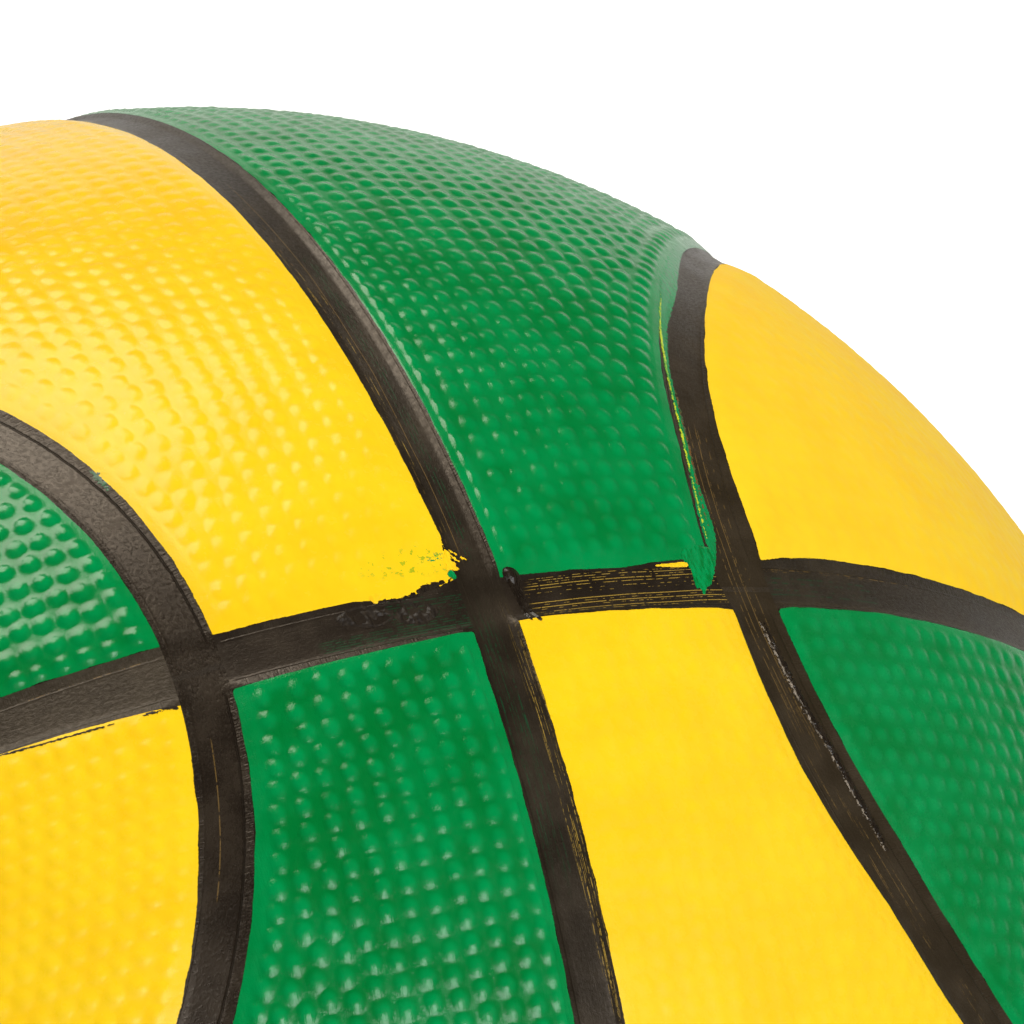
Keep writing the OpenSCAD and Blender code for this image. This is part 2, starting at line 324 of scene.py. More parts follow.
def spread(fixed, free):
    """Evens out the free pebbles: each is pushed away from all that lie within the push's reach."""
    reach = PUSH_REACH * PEBBLE_PITCH
    for _ in range(SPREAD_ROUNDS):
        everyone = np.concatenate([fixed, free])
        mirror = everyone * [1, 1, -1]
        others = np.concatenate([everyone, mirror])
        gap = free[:, None, :] - others[None, :, :]
        far = np.linalg.norm(gap, axis=2)
        near = (far > SAME_PEBBLE) & (far < reach)
        push = np.where(near, (reach - far) / np.maximum(far, SAME_PEBBLE), 0)
        free = free + PUSH_SHARE * (gap * push[..., None]).sum(axis=1)
        free *= BALL_R / np.linalg.norm(free, axis=1)[:, None]
    return free


def settle(border, inner):
    """Joins a border row to the inner rows, which give way to it and even out close to it."""
    far = np.linalg.norm(inner[:, None, :] - border[None, :, :], axis=2).min(axis=1)
    inner, far = inner[far > TOO_NEAR * PEBBLE_PITCH], far[far > TOO_NEAR * PEBBLE_PITCH]
    clear = HALF_CHANNEL + PEBBLE_MARGIN + LOOSE_CLEARANCE
    x, y, _ = seam_distances(inner)
    loose = (far < BORDER_REACH) & (x > clear) & (y > clear)
    held = np.concatenate([border, inner[~loose]])
    return np.concatenate([held, spread(held, inner[loose])])


def long_panel_pebbles(margin=PEBBLE_MARGIN):
    """Rows beside the centre seam, each a circle about X, with pebbles counted from the cross seam.

    margin is how far the first row lies from the centre seam's channel.
    """
    points = []
    start = HALF_CHANNEL + PEBBLE_MARGIN
    for k in range(MOST_ROWS):
        x = BALL_R * math.sin((HALF_CHANNEL + margin + k * PEBBLE_ROW_PITCH) / BALL_R)
        if x > WIDEST_ROW:
            break
        reach = math.sqrt(BALL_R ** 2 - x ** 2)
        first = math.asin(start / reach)
        count = round((math.pi / 2 - first) * reach / PEBBLE_COLUMN_PITCH - 0.5)
        turn = first + (math.pi / 2 - first) / (count + 0.5) * np.arange(count + 1)
        points.append(on_ball(np.full(turn.shape, x), turn))
    points = np.concatenate(points)
    outside = np.hypot(points[:, 0] - SEAM_X, points[:, 1]) - SEAM_R
    points = points[outside > start]
    return settle(seam_row(start), points)


def end_panel_pebbles():
    """Rows beside the cross seam, each a circle about Y, with pebbles counted from the middle."""
    points = []
    start = HALF_CHANNEL + END_MARGIN
    for k in range(MOST_ROWS):
        y = BALL_R * math.sin((start + k * PEBBLE_PITCH) / BALL_R)
        wide = (SEAM_R - start) ** 2 - y ** 2
        reach = math.sqrt(BALL_R ** 2 - y ** 2)
        if wide <= 0 or SEAM_X - math.sqrt(wide) >= reach:
            break
        last = math.acos((SEAM_X - math.sqrt(wide)) / reach)
        count = max(1, round(last * reach / PEBBLE_PITCH - 0.5))
        turn = last / (count + 0.5) * (np.arange(count + 1) + 0.5)
        points.append(np.stack([reach * np.cos(turn), np.full(turn.shape, y),
                                reach * np.sin(turn)], axis=-1))
    points = np.concatenate(points)
    inside = SEAM_R - np.hypot(points[:, 0] - SEAM_X, points[:, 1])
    points = points[inside > start]
    return settle(seam_row(-HALF_CHANNEL - END_CURVE_MARGIN), points)


def jittered(points):
    """Moves each pebble a little off its even place."""
    draw = np.random.default_rng(JITTER_SEED)
    points = points + draw.normal(size=points.shape) * PEBBLE_JITTER
    return points * (BALL_R / np.linalg.norm(points, axis=1))[:, None]


PEBBLES = {"long": jittered(long_panel_pebbles()),
           "near": jittered(long_panel_pebbles(NEAR_MARGIN)),
           "end": jittered(end_panel_pebbles())}


def pebble_domes(points, centres, seed, radius, squeeze, crown, skirt):
    """Domes about the nearest centre, that fall from about 1 in the middle to 0 at the radius.

    The share of the way out is raised to the power crown, and one minus that to the power skirt.
    squeeze narrows the domes along x and lengthens them the other way.
    """
    draw = np.random.default_rng(seed)
    tall = draw.uniform(*PEBBLE_TALL, len(centres))
    wide = draw.uniform(*PEBBLE_WIDE, len(centres)) * radius
    folded = np.abs(points)
    folded = folded * (BALL_R / np.linalg.norm(folded, axis=1))[:, None]
    spots = centres.astype(np.float32).T
    nearest = np.empty(len(points), dtype=np.int64)
    for i in range(0, len(points), DOME_CHUNK):
        part = slice(i, i + DOME_CHUNK)
        nearest[part] = (folded[part].astype(np.float32) @ spots).argmax(axis=1)
    far = np.linalg.norm((folded - centres[nearest]) * [squeeze, 1 / squeeze, 1 / squeeze], axis=1)
    share = np.clip(far / wide[nearest], 0, 1)
    return tall[nearest] * (1 - share ** crown) ** skirt


# Meshes

SHARP_ANGLE = math.radians(50)
# Points nearer than this, in metres, become one
WELD_DISTANCE = 1e-7
UNDER_COLUMNS = 7


def add_piece(name, points, faces, slot, material, replaces=(), values=None, weld=False):
    """A mesh object in metres from points in mm, smooth but for its edges, on the ball's body."""
    mesh = bpy.data.meshes.new(name)
    mesh.from_pydata((points * MM).tolist(), [], faces)
    for key, array in (values or {}).items():
        mesh.attributes.new(key, "FLOAT", "POINT").data.foreach_set(
            "value", array.astype(np.float32))
    if weld:
        shape = bmesh.new()
        shape.from_mesh(mesh)
        bmesh.ops.remove_doubles(shape, verts=shape.verts, dist=WELD_DISTANCE)
        shape.to_mesh(mesh)
        shape.free()
    mesh.materials.append(material)
    mesh.polygons.foreach_set("use_smooth", np.ones(len(mesh.polygons), dtype=bool))
    mesh.update()
    mesh.set_sharp_from_angle(angle=SHARP_ANGLE)
    piece = bpy.data.objects.new(name, mesh)
    bpy.context.scene.collection.objects.link(piece)
    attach(piece, "root")
    if replaces:
        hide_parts(*replaces)


def grid_faces(rows, columns, first=0):
    """Quads between neighbours of a grid of points that is stored row by row."""
    i = np.arange(rows - 1)[:, None] * columns + np.arange(columns - 1)[None, :] + first
    return np.stack([i, i + 1, i + columns + 1, i + columns], axis=-1).reshape(-1, 4)


def closed_shell(top):
    """A closed solid below a panel's grid: side walls, the cover's underside and two ends.

    The underside has the grid's rows but only a few columns, and each end is one flat face.
    """
    rows, columns = top.shape[:2]
    across = UNDER_COLUMNS
    share = np.linspace(0, 1, across)
    pick = share * (columns - 1)
    low = np.floor(pick).astype(int)
    high = np.minimum(low + 1, columns - 1)
    part = (pick - low)[None, :, None]
    under = top[:, low] * (1 - part) + top[:, high] * part
    under *= (COVER_IN_R / np.linalg.norm(under, axis=2))[..., None]
    points = np.concatenate([top.reshape(-1, 3), under.reshape(-1, 3)])
    base = rows * columns
    faces = [grid_faces(rows, columns), grid_faces(rows, across, base)[:, ::-1]]
    i = np.arange(rows - 1)
    left, left_under = i * columns, base + i * across
    faces.append(np.stack([left, left + columns, left_under + across, left_under], axis=-1))
    right, right_under = left + columns - 1, left_under + across - 1
    faces.append(np.stack([right + columns, right, right_under, right_under + across], axis=-1))
    faces = np.concatenate(faces).tolist()
    start = list(range(columns))
    faces.append(start[::-1] + list(range(base, base + across)))
    last = (rows - 1) * columns
    end_under = base + (rows - 1) * across
    faces.append(list(range(last, last + columns))
                 + list(range(end_under + across - 1, end_under - 1, -1)))
    return points, faces


def turned(faces, flip):
    """Turns the faces of a mirrored piece round, so that they still point outwards."""
    return [face[::-1] for face in faces] if flip else faces


def graded(stations):
    """Numbers from (start, end, steps) runs, one after another, sharing their ends."""
    runs = [np.linspace(a, b, n + 1)[:-1] for a, b, n in stations]
    return np.concatenate(runs + [[stations[-1][1]]])


def long_panel_grid(turns, columns, with_pad):
    """Points of a long panel where x and y are positive.

    Rows follow the angle about X and columns the angle off the plane x = 0. The first row and
    column are cut to the channels' edges, the last column to the curved channel, and the first
    column steps round the valve pad. The two angles hang on each other and settle in six rounds.
    """
    turn = np.repeat(turns[:, None], columns, axis=1)
    share = np.linspace(0, 1, columns)[None, :]
    for _ in range(6):
        outer = np.arcsin(curve_x(turn, HALF_CHANNEL) / BALL_R)
        inner_x = np.full(turn.shape, HALF_CHANNEL)
        if with_pad:
            z = BALL_R * np.cos(turn)
            notch = np.sqrt(np.maximum(PAD_R ** 2 - z ** 2, 0))
            inner_x = np.maximum(inner_x, notch)
        inner = np.arcsin(inner_x / BALL_R)
        lean = inner + (outer - inner) * share
        edge = np.arcsin(HALF_CHANNEL / (BALL_R * np.cos(lean)))
        turn = edge + (math.pi - 2 * edge) * (turns[:, None] / math.pi)
    return on_ball(BALL_R * np.sin(lean), turn)


def end_panel_grid(heights, shares):
    """Points of an end panel where x and y are positive.

    Each row has one height along Y, a share of the way to the tip, and runs from the curved channel
    over to it again. The tip is where the channel's edge comes down to z = 0. Shares from -1 to 1
    place the columns between the row's two ends.
    """
    top_x = (SEAM_X ** 2 + BALL_R ** 2 - (SEAM_R - HALF_CHANNEL) ** 2) / (2 * SEAM_X)
    tip = math.sqrt(BALL_R ** 2 - top_x ** 2)
    y = HALF_CHANNEL + (tip - HALF_CHANNEL) * heights
    reach = np.sqrt(BALL_R ** 2 - y ** 2)
    x = SEAM_X - np.sqrt((SEAM_R - HALF_CHANNEL) ** 2 - y ** 2)
    last = np.arccos(np.clip(x / reach, -1, 1))
    turn = last[:, None] * shares[None, :]
    return np.stack([reach[:, None] * np.cos(turn), np.repeat(y[:, None], len(shares), axis=1),
                     reach[:, None] * np.sin(turn)], axis=-1)


# The pebbles' radius, squeeze and the two powers of their shape, by kind of panel
LONG_SHAPE = (1.3, 1.12, 2.0, 1.3)
PEBBLE_SHAPES = {"long": LONG_SHAPE, "near": LONG_SHAPE, "end": (1.14, 1.0, 2.3, 1.05)}
# The seed of a panel's swell lies this far above the one of its pebbles
SWELL_SEED = 50
# Distances from the channel over which the domes and the ground between them fade in, in mm
DOME_START = (0.3, 0.9)
DOME_EDGE_START = (0.2, 0.8)
BASE_START = (0.6, 2.2)


def dress_panel(name, grid, sides, kind, tall, paint, seed, node):
    """Raises a panel's grid by its moulding, pebbles and a slow swell, and makes its piece.

    kind says which rows and shape of pebbles it has, and node is the panel that the piece replaces.
    Its points keep edge, the distance from the even channel, lip, the one from the painted
    channel, and pebble, the height of the domes, for the paint.
    """
    rows, columns = grid.shape[:2]
    even = (grid * [sides[0], sides[1], 1]).reshape(-1, 3)
    edge = edge_distance(even)
    flat = repainted(even)
    lip = edge_distance(flat)
    domes = pebble_domes(flat, PEBBLES[kind], seed, *PEBBLE_SHAPES[kind])
    domes *= smooth(lip, *DOME_START) * smooth(edge, *DOME_EDGE_START)
    swell = SWELL * waves(flat, SWELL_SIZE, seed + SWELL_SEED)
    height = surface_height(even) + tall * domes + swell
    height += PEBBLE_BASE * smooth(lip, *BASE_START)
    flat *= (1 + height / BALL_R)[:, None]
    points, faces = closed_shell(flat.reshape(rows, columns, 3))
    extra = np.zeros(len(points) - len(flat))
    faces = turned(faces, sides[0] * sides[1] < 0)
    values = {"edge": edge, "lip": lip, "pebble": domes}
    values = {key: np.concatenate([array, extra]) for key, array in values.items()}
    add_piece(name, points, faces, *paint, (node,), values=values, weld=True)


# Materials

# Noises of the paint: the size of their features in mm, or the size along each of the ball's axes,
# then their detail and roughness
CLOUDS = (7, 3)
DIMPLES = (0.9, 3, 0.6)
WRINKLES = (0.3, 2, 0.6)
DUST = (0.17, 2, 0.6)
FRAYS = (0.8, 4, 0.7)
SHINE_PATCHES = (1.4, 3, 0.6)
BRUSH_MARKS = ((0.2, 1.6, 1.6), 2, 0.6)
FILM_BRUSH_MARKS = ((0.35, 1.6, 1.6), 3, 0.6)
FILM_WRINKLES = (0.5, 3, 0.6)
WORN_PATCHES = (5, 3)
# Noises of the channels: length and width of their features, detail, roughness and slice
FINE_GRAIN = (0.6, 0.42, 5, 0.7)
LINE_GAPS = (0.9, 5, 3, 0.7)
LINE_SWAY = (14, 30, 1, 0.5, 3.0)
FLECKS = (0.5, 0.3, 3, 0.6, 2.0)
FOLD_WANDER = (1.6, 40, 3, 0.6, 4.0)
HAIRS = (11, 0.17, 3, 0.6, 5.0)
RIBS = (0.2, 1.4, 2, 0.5, 9.0)
# How far brush lines and folds wander, and how far the black's edge does at each size, in mm
SWAY = 0.25
WANDER = 0.4
EDGE_WAVERS = ((3.4, 0.5), (0.3, 0.14))
EDGE_BLUR = 0.07
# The winding's yarn: how its two sets of threads are turned, and their waves to the metre
YARN_TURNS = (0.45, -0.5)
YARN_TILT = 0.3
YARN_SCALE = 520.0


class Nodes:
    """A node tree, with a short call for each kind of node that it uses."""

    def __init__(self, owner, output):
        self.owner = owner
        owner.use_nodes = True
        self.tree = owner.node_tree
        self.tree.nodes.clear()
        self.output = self.tree.nodes.new(output)
        self.coordinates = self.add("ShaderNodeTexCoord").outputs
        self.place = self.coordinates["Object"]

    def add(self, kind, inputs=None, **settings):
        """A new node with those settings, whose inputs are sockets to link to or plain values."""
        node = self.tree.nodes.new(kind)
        for key, value in settings.items():
            setattr(node, key, value)
        for key, value in (inputs or {}).items():
            if isinstance(value, bpy.types.NodeSocket):
                self.tree.links.new(value, node.inputs[key])
            else:
                node.inputs[key].default_value = value
        return node

    def value(self, name):
        """A number kept at each point of the piece."""
        return self.add("ShaderNodeAttribute", attribute_name=name).outputs["Fac"]

    def math(self, how, a, b=0.0, clamp=False):
        """The result of one calculation, which goes by its name in the node."""
        node = self.add("ShaderNodeMath", {0: a, 1: b}, operation=how, use_clamp=clamp)
        return node.outputs[0]

    def ramp(self, value, low, high, start=0.0, end=1.0, kind="SMOOTHSTEP"):
        """Goes from start to end as value goes from low to high, with soft ends."""
        inputs = {"Value": value, "From Min": low, "From Max": high, "To Min": start, "To Max": end}
        return self.add("ShaderNodeMapRange", inputs, interpolation_type=kind).outputs["Result"]

    def mix(self, share, a, b):
        """A colour that goes from a to b as share goes from 0 to 1."""
        node = self.add("ShaderNodeMix", {0: share, 6: a, 7: b}, data_type="RGBA")
        return node.outputs[2]

    def noise_at(self, where, scale, detail, rough):
        """Noise at the points that where gives, times scale."""
        return self.add("ShaderNodeTexNoise", {"Vector": where, "Scale": scale, "Detail": detail,
                                               "Roughness": rough}).outputs["Fac"]

    def noise(self, size, detail=2.0, rough=0.5):
        """Noise with features of about size mm."""
        return self.noise_at(self.place, 1 / (size * MM), detail, rough)

    def grain(self, sizes, detail=2.0, rough=0.5):
        """Noise whose features have one size in mm along each of the ball's axes."""
        way = self.add("ShaderNodeMapping", {"Vector": self.place,
                                             "Scale": [1 / (size * MM) for size in sizes]})
        return self.noise_at(way.outputs[0], 1.0, detail, rough)

    def strip_noise(self, length, width, detail=2.0, rough=0.5, shift=0.0):
        """Noise with features of that length along a strip and that width across it, in mm.

        shift moves to another slice of the noise, so that two patterns don't match.
        """
        along = self.math("MULTIPLY", self.value("along"), 1 / length)
        across = self.math("MULTIPLY", self.value("across"), 1 / width)
        where = self.add("ShaderNodeCombineXYZ", {0: along, 1: across, 2: shift}).outputs[0]
        return self.noise_at(where, 1.0, detail, rough)

    def product(self, first, *others):
        """The first value times each of the others."""
        for other in others:
            first = self.math("MULTIPLY", first, other)
        return first

    def about_zero(self, noise, width):
        """Noise moved to lie about 0, and stretched to width."""
        return self.math("MULTIPLY", self.math("SUBTRACT", noise, 0.5), width)

    def stroke(self, place, half_width, broken):
        """A thin line along a strip at one place across it, broken where noise is below broken.

        It sways by up to SWAY mm to each side of its place.
        """
        sway = self.math("MULTIPLY_ADD", self.strip_noise(*LINE_SWAY), 2 * SWAY)
        sway.node.inputs[2].default_value = -SWAY - place
        away = self.math("ABSOLUTE", self.math("ADD", self.value("across"), sway))
        line = self.ramp(away, half_width * 0.5, half_width * 1.5, start=1.0, end=0.0)
        gaps = self.ramp(self.strip_noise(*LINE_GAPS, place * 7), broken, broken + 0.05)
        return self.math("MULTIPLY", line, gaps)

    def zone(self, centre, half, soft=0.35):
        """1 inside an ellipsoid of that centre and those half lengths in mm, and 0 outside."""
        away = self.add("ShaderNodeVectorMath", {0: self.place, 1: [c * MM for c in centre]},
                        operation="SUBTRACT").outputs[0]
        scaled = self.add("ShaderNodeVectorMath", {0: away, 1: [h * MM for h in half]},
                          operation="DIVIDE").outputs[0]
        length = self.add("ShaderNodeVectorMath", {0: scaled}, operation="LENGTH")
        return self.ramp(length.outputs["Value"], 1 - soft, 1 + soft, start=1.0, end=0.0)

    def bump(self, height, depth, under=None):
        """Relief of depth mm where height goes from 0 to 1, over the relief under it.

        With a negative depth it is sunk in.
        """
        inputs = {"Height": height, "Distance": depth * MM, "Strength": 1.0}
        if under is not None:
            inputs["Normal"] = under
        return self.add("ShaderNodeBump", inputs).outputs["Normal"]

    def surface(self, colour, rough, normal, **sockets):
        """The finished material: one shader with those inputs."""
        inputs = {"Base Color": colour, "Roughness": rough, "Normal": normal}
        inputs.update({key.replace("_", " "): value for key, value in sockets.items()})
        return self.finish(self.add("ShaderNodeBsdfPrincipled", inputs))

    def finish(self, shader):
        """Links that shader to the output, and gives the material or the world."""
        self.tree.links.new(shader.outputs[0], self.output.inputs["Surface"])
        return self.owner


def material_nodes(name):
    """The node tree of a new material, empty but for its output."""
    return Nodes(bpy.data.materials.new(name), "ShaderNodeOutputMaterial")


def panel_paint(name, colour, deep, rough, level, brushed, hollow_shade, specks=(), ragged=()):
    """Brushed paint on a pebbled panel, with a wavering black line at its edge.

    level is the shader's specular level, brushed the depth of the brush marks, and hollow_shade how
    much deeper the colour is painted between the pebbles, as painted shade. A speck is a zone, a
    colour, the size of its spots and the noise above which they show. ragged gives zones where the
    line reaches further in.
    """
    n = material_nodes(name)
    edge, lip, pebble = n.value("edge"), n.value("lip"), n.value("pebble")
    cloud = n.noise(*CLOUDS)

    # Painted shade: the colour is deeper between the pebbles, and a little on the plain margin by the
    # channel. It is also deeper in soft clouds at random, and specks lie on it.
    hollow = n.ramp(n.math("SUBTRACT", 1.0, pebble), 0.0, 1.0)
    shade = n.product(hollow, n.ramp(lip, 1.2, 2.2, start=0.4), hollow_shade)
    shade = n.math("ADD", shade, n.ramp(cloud, 0.35, 0.7, end=0.45), clamp=True)
    tone = n.mix(shade, colour, deep)
    for zone, speck, size, least in specks:
        spots = n.ramp(n.noise(size, detail=3, rough=0.65), least, least + 0.03)
        tone = n.mix(n.product(spots, n.zone(*zone)), tone, speck)

    # The black of the channel runs up to the panel's edge, on a line that wavers
    waver = n.math("ADD", *(n.about_zero(n.noise(size), width) for size, width in EDGE_WAVERS))
    for zone, reach in ragged:
        frayed = n.ramp(n.noise(*FRAYS), 0.42, 0.62, start=-0.2)
        waver = n.math("ADD", waver, n.product(frayed, reach, n.zone(*zone)))
    black = n.ramp(n.math("SUBTRACT", edge, waver), 0.0, EDGE_BLUR, start=1.0, end=0.0)
    tone = n.mix(black, tone, BLACK)

    # The relief: wrinkles at the lip, fine dust, clouds, dimples and brush marks
    wrinkles = n.product(n.noise(*WRINKLES), n.ramp(lip, 0.5, 1.1, start=1.0, end=0.0))
    normal = n.bump(wrinkles, 0.02)
    normal = n.bump(n.noise(*DUST), 0.004 + 0.6 * brushed, normal)
    normal = n.bump(cloud, 0.08, normal)
    normal = n.bump(n.noise(*DIMPLES), 0.025, normal)
    normal = n.bump(n.grain(*BRUSH_MARKS), brushed, normal)
    gloss = n.ramp(n.noise(*SHINE_PATCHES), 0.3, 0.75, start=rough - 0.04, end=rough + 0.1)
    return n.surface(tone, gloss, normal, Specular_IOR_Level=level)


def channel_paint(name, strokes=(), streaks=(), rough=0.36, grain=0.05, crease_and_shade=(0.2, 0.2),
                  fold=FOLD, tones=BLACKS):
    """Black paint in a channel: a grained floor, ribbed sides, and marks drawn by the brush.

    A stroke is a zone, a colour and its lines, each with its place across, its half width and how
    broken it is. A streak is a zone, its reach across, a colour, the noise above which its many
    fine lines show, and their width. crease_and_shade gives how deep the crease along the fold
    between floor and side is and how dark its painted shade, on the low and on the high side, and
    fold how far from the middle it lies.
    """
    n = material_nodes(name)
    across, alone = n.value("across"), n.value("alone")
    away = n.math("ABSOLUTE", across)
    patchy = n.noise(*WORN_PATCHES)
    fine, hairs = n.strip_noise(*FINE_GRAIN), n.strip_noise(*HAIRS)

    # Ribs lie on the sides, and a sunk crease wanders along each fold, both clear of crossings. The
    # crease is darkened with painted shade.
    ribs = n.product(n.strip_noise(*RIBS), n.ramp(away, fold, fold + 0.15), alone)
    wander = n.about_zero(n.strip_noise(*FOLD_WANDER), WANDER)
    crease = n.math("ABSOLUTE", n.math("SUBTRACT", n.math("ADD", away, wander), fold))
    crease = n.product(n.ramp(crease, 0.02, 0.2, start=1.0, end=0.0), alone,
                       n.ramp(across, -0.1, 0.1, *crease_and_shade), n.ramp(fine, 0.3, 0.6, start=0.5))

    # The black is fresh and worn in patches and hairs, and the brush left colours on it
    tone = n.mix(n.ramp(patchy, 0.35, 0.75, end=0.8), *tones)
    tone = n.mix(n.product(n.ramp(hairs, 0.56, 0.7), 0.5), tone, tones[1])
    for zone, (low, high), colour, least, width in streaks:
        lines = n.ramp(n.strip_noise(9, width, shift=least * 31), least, least + 0.04)
        broken = n.ramp(n.strip_noise(*FLECKS), 0.42, 0.5)
        reach = n.product(n.ramp(across, low, low + 0.3),
                          n.ramp(across, high - 0.3, high, start=1.0, end=0.0))
        tone = n.mix(n.product(lines, broken, reach, n.zone(*zone)), tone, colour)
    for zone, colour, lines in strokes:
        drawn = [n.stroke(*line) for line in lines]
        total = drawn[0]
        for line in drawn[1:]:
            total = n.math("MAXIMUM", total, line)
        tone = n.mix(n.product(total, n.zone(*zone, soft=0.06)), tone, colour)

    # Creases are dull, and the grain shines on its tops
    gloss = n.ramp(patchy, 0.3, 0.75, start=rough - 0.04, end=rough + 0.06)
    gloss = n.math("MAXIMUM", gloss, n.product(crease, 0.6))
    gloss = n.math("ADD", gloss, n.ramp(fine, 0.3, 0.7, start=0.06, end=-0.06))
    normal = n.bump(hairs, 0.012)
    normal = n.bump(fine, grain, normal)
    normal = n.bump(ribs, 0.08, normal)
    normal = n.bump(crease, -0.1, normal)
    shine = n.ramp(fine, 0.35, 0.65, start=0.36, end=0.66)
    shine = n.math("SUBTRACT", shine, n.product(crease, 0.35))
    # The creases take a painted shade, mixed over the black's tone
    return n.surface(n.mix(crease, tone, CREASE_SHADE), gloss, normal, Specular_IOR_Level=shine,
                     Specular_Tint=WARM_SHINE)


def film_paint(name, colour, deep, rough, wrinkle=0.05, level=0.5):
    """Thick paint over another piece: wrinkled by the brush, in two close tones."""
    n = material_nodes(name)
    marks = n.grain(*FILM_BRUSH_MARKS)
    tone = n.mix(n.ramp(marks, 0.4, 0.65), colour, deep)
    normal = n.bump(n.noise(*FILM_WRINKLES), wrinkle)
    normal = n.bump(marks, wrinkle * 0.5, normal)
    return n.surface(tone, rough, normal, Specular_IOR_Level=level)


def rubber(name, colour, worn, rough, size):
    """Moulded or dipped rubber: faint clouds of a worn tone, and a fine grain."""
    n = material_nodes(name)
    cloud = n.noise(size * 8, detail=3)
    grain = n.noise(size, detail=3, rough=0.6)
    tone = n.mix(n.ramp(cloud, 0.35, 0.7), colour, worn)
    gloss = n.ramp(grain, 0.3, 0.7, start=rough - 0.06, end=rough + 0.08)
    return n.surface(tone, gloss, n.bump(grain, size * 0.08))


def wound_yarn(name):
    """Yarn that crosses itself: two sets of fine threads, laid at an angle to each other."""
    n = material_nodes(name)
    threads = []
    for turn in YARN_TURNS:
        leaned = n.add("ShaderNodeMapping", {"Vector": n.place,
                                             "Rotation": (turn, turn, YARN_TILT)})
        wave = n.add("ShaderNodeTexWave", {"Vector": leaned.outputs[0], "Scale": YARN_SCALE,
                                           "Distortion": 1.5, "Detail": 2.0})
        threads.append(wave.outputs["Fac"])
    weave = n.math("MAXIMUM", *threads)
    # The colour is darker between the threads, where the weave sinks: a painted shade
    tone = n.mix(weave, (0.55, 0.5, 0.4, 1), (0.82, 0.79, 0.7, 1))
    gloss = n.ramp(weave, 0, 1, start=0.85, end=0.65)
    return n.surface(tone, gloss, n.bump(weave, 0.2))


# The finishes. Each paint is a slot and a material. A zone on the upper side is given in mm, as a
# centre and half lengths.
green = "green_paint", panel_paint("green_gloss_paint", *GREENS, 0.17, 0.5, 0.014, 0.42)
even_green = "green_paint", panel_paint("green_even_paint", *GREENS, 0.24, 0.35, 0.014, 0.4)
# The front left panel's green, with more painted shade between its pebbles than the others
shadier_green = "green_paint", panel_paint("green_paint_more_shade", *GREENS, 0.15, 0.5, 0.03, 0.65)
yellow = "yellow_paint", panel_paint("yellow_paint", *YELLOWS, 0.26, 0.22, 0.002, 0.15)
matt_yellow = "yellow_paint", panel_paint("yellow_matt_paint", *YELLOWS, 0.52, 0.2, 0.002, 0.1)
yellow_ragged = "yellow_paint", panel_paint(
    "yellow_paint_ragged", *YELLOWS, 0.2, 0.29, 0.002, 0.1,
    specks=[(((-5.5, 6.4, 119.6), (6.5, 1.7, 8.0)), (0.42, 0.46, 0.012, 1), 0.7, 0.57),
            (((-3.6, 6.0, 119.6), (2.2, 1.1, 8.0)), GREEN, 0.55, 0.6),
            (((-9.5, 5.9, 119.6), (3.5, 0.9, 8.0)), (0.05, 0.3, 0.03, 1), 0.6, 0.66)],
    ragged=[(((-5.2, 3.4, 119.8), (6.0, 1.3, 8.0)), 0.1),
            (((-2.6, 6.2, 119.8), (1.2, 2.8, 8.0)), 0.35)])

plain_black = channel_paint("channel_black_paint")
centre_black = channel_paint(
    "channel_black_centre", crease_and_shade=(0.2, 0.0), tones=WARM_BLACKS,
    strokes=[(((0, 40, 113), (8, 34, 30)), TAN_DIM, [(-0.55, 0.035, 0.36), (-1.6, 0.03, 0.52)]),
             (((0, 30, 115), (8, 24, 20)), DARK_GREEN, [
                 (0.1, 0.035, 0.46), (0.5, 0.04, 0.44), (0.9, 0.035, 0.48)])],
    streaks=[
        (((0, -34, 114), (8, 28, 20)), (1.1, 3.1), TAN, 0.57, 0.09),
        (((0, -16, 119), (8, 14, 20)), (-2.4, 0.6), DARK_GREEN, 0.58, 0.12),
        (((0, 36, 114), (8, 26, 20)), (-3.1, -0.6), TAN, 0.66, 0.15),
    ])
right_black = channel_paint(
    "channel_black_right", tones=BROWN_BLACKS,
    strokes=[(((32, 4, 115), (9, 20, 12)), TAN_DIM, [
        (1.1, 0.04, 0.45), (0.5, 0.04, 0.42), (-0.35, 0.05, 0.4), (-0.6, 0.04, 0.5),
        (-1.5, 0.04, 0.5)])],
    streaks=[(((45, -30, 105), (20, 25, 20)), (-1.5, 1.9), TAN_DIM, 0.62, 0.16)])
left_black = channel_paint(
    "channel_black_left", rough=0.25, grain=0.07, crease_and_shade=(0.1, 0.7), fold=LEFT_FOLD,
    strokes=[(((-35, -16, 112), (5, 9, 12)), TAN_DIM, [(-0.5, 0.05, 0.42)])])
cross_right_black = channel_paint(
    "channel_black_cross_right",
    strokes=[(((18.0, 0, 118.5), (12.9, 6, 8)), TAN, [
        (2.45, 0.03, 0.5), (2.2, 0.035, 0.45), (1.92, 0.03, 0.5), (1.62, 0.045, 0.36),
        (1.25, 0.035, 0.44), (0.75, 0.03, 0.53), (0.35, 0.03, 0.56), (-0.45, 0.045, 0.35),
        (-0.75, 0.025, 0.52), (-1.05, 0.045, 0.38), (-1.3, 0.03, 0.5), (-1.72, 0.045, 0.38),
        (-2.05, 0.035, 0.49)])])
cross_left_black = channel_paint(
    "channel_black_cross_left",
    strokes=[(((-4.5, 0, 119), (6.5, 6, 8)), DARK_GREEN, [
        (2.3, 0.04, 0.48), (1.9, 0.04, 0.44), (1.6, 0.03, 0.5), (1.3, 0.04, 0.44), (0.9, 0.03, 0.48),
        (0.6, 0.03, 0.5), (0.3, 0.04, 0.46), (0.0, 0.03, 0.5), (-0.3, 0.04, 0.45)]),
        (((-9, -1, 119), (10, 6, 8)), DARK_GREEN, [
            (-0.7, 0.04, 0.47), (-1.0, 0.05, 0.42), (-1.3, 0.04, 0.46), (-1.6, 0.06, 0.4),
            (-1.9, 0.05, 0.4), (-2.3, 0.04, 0.44)])])
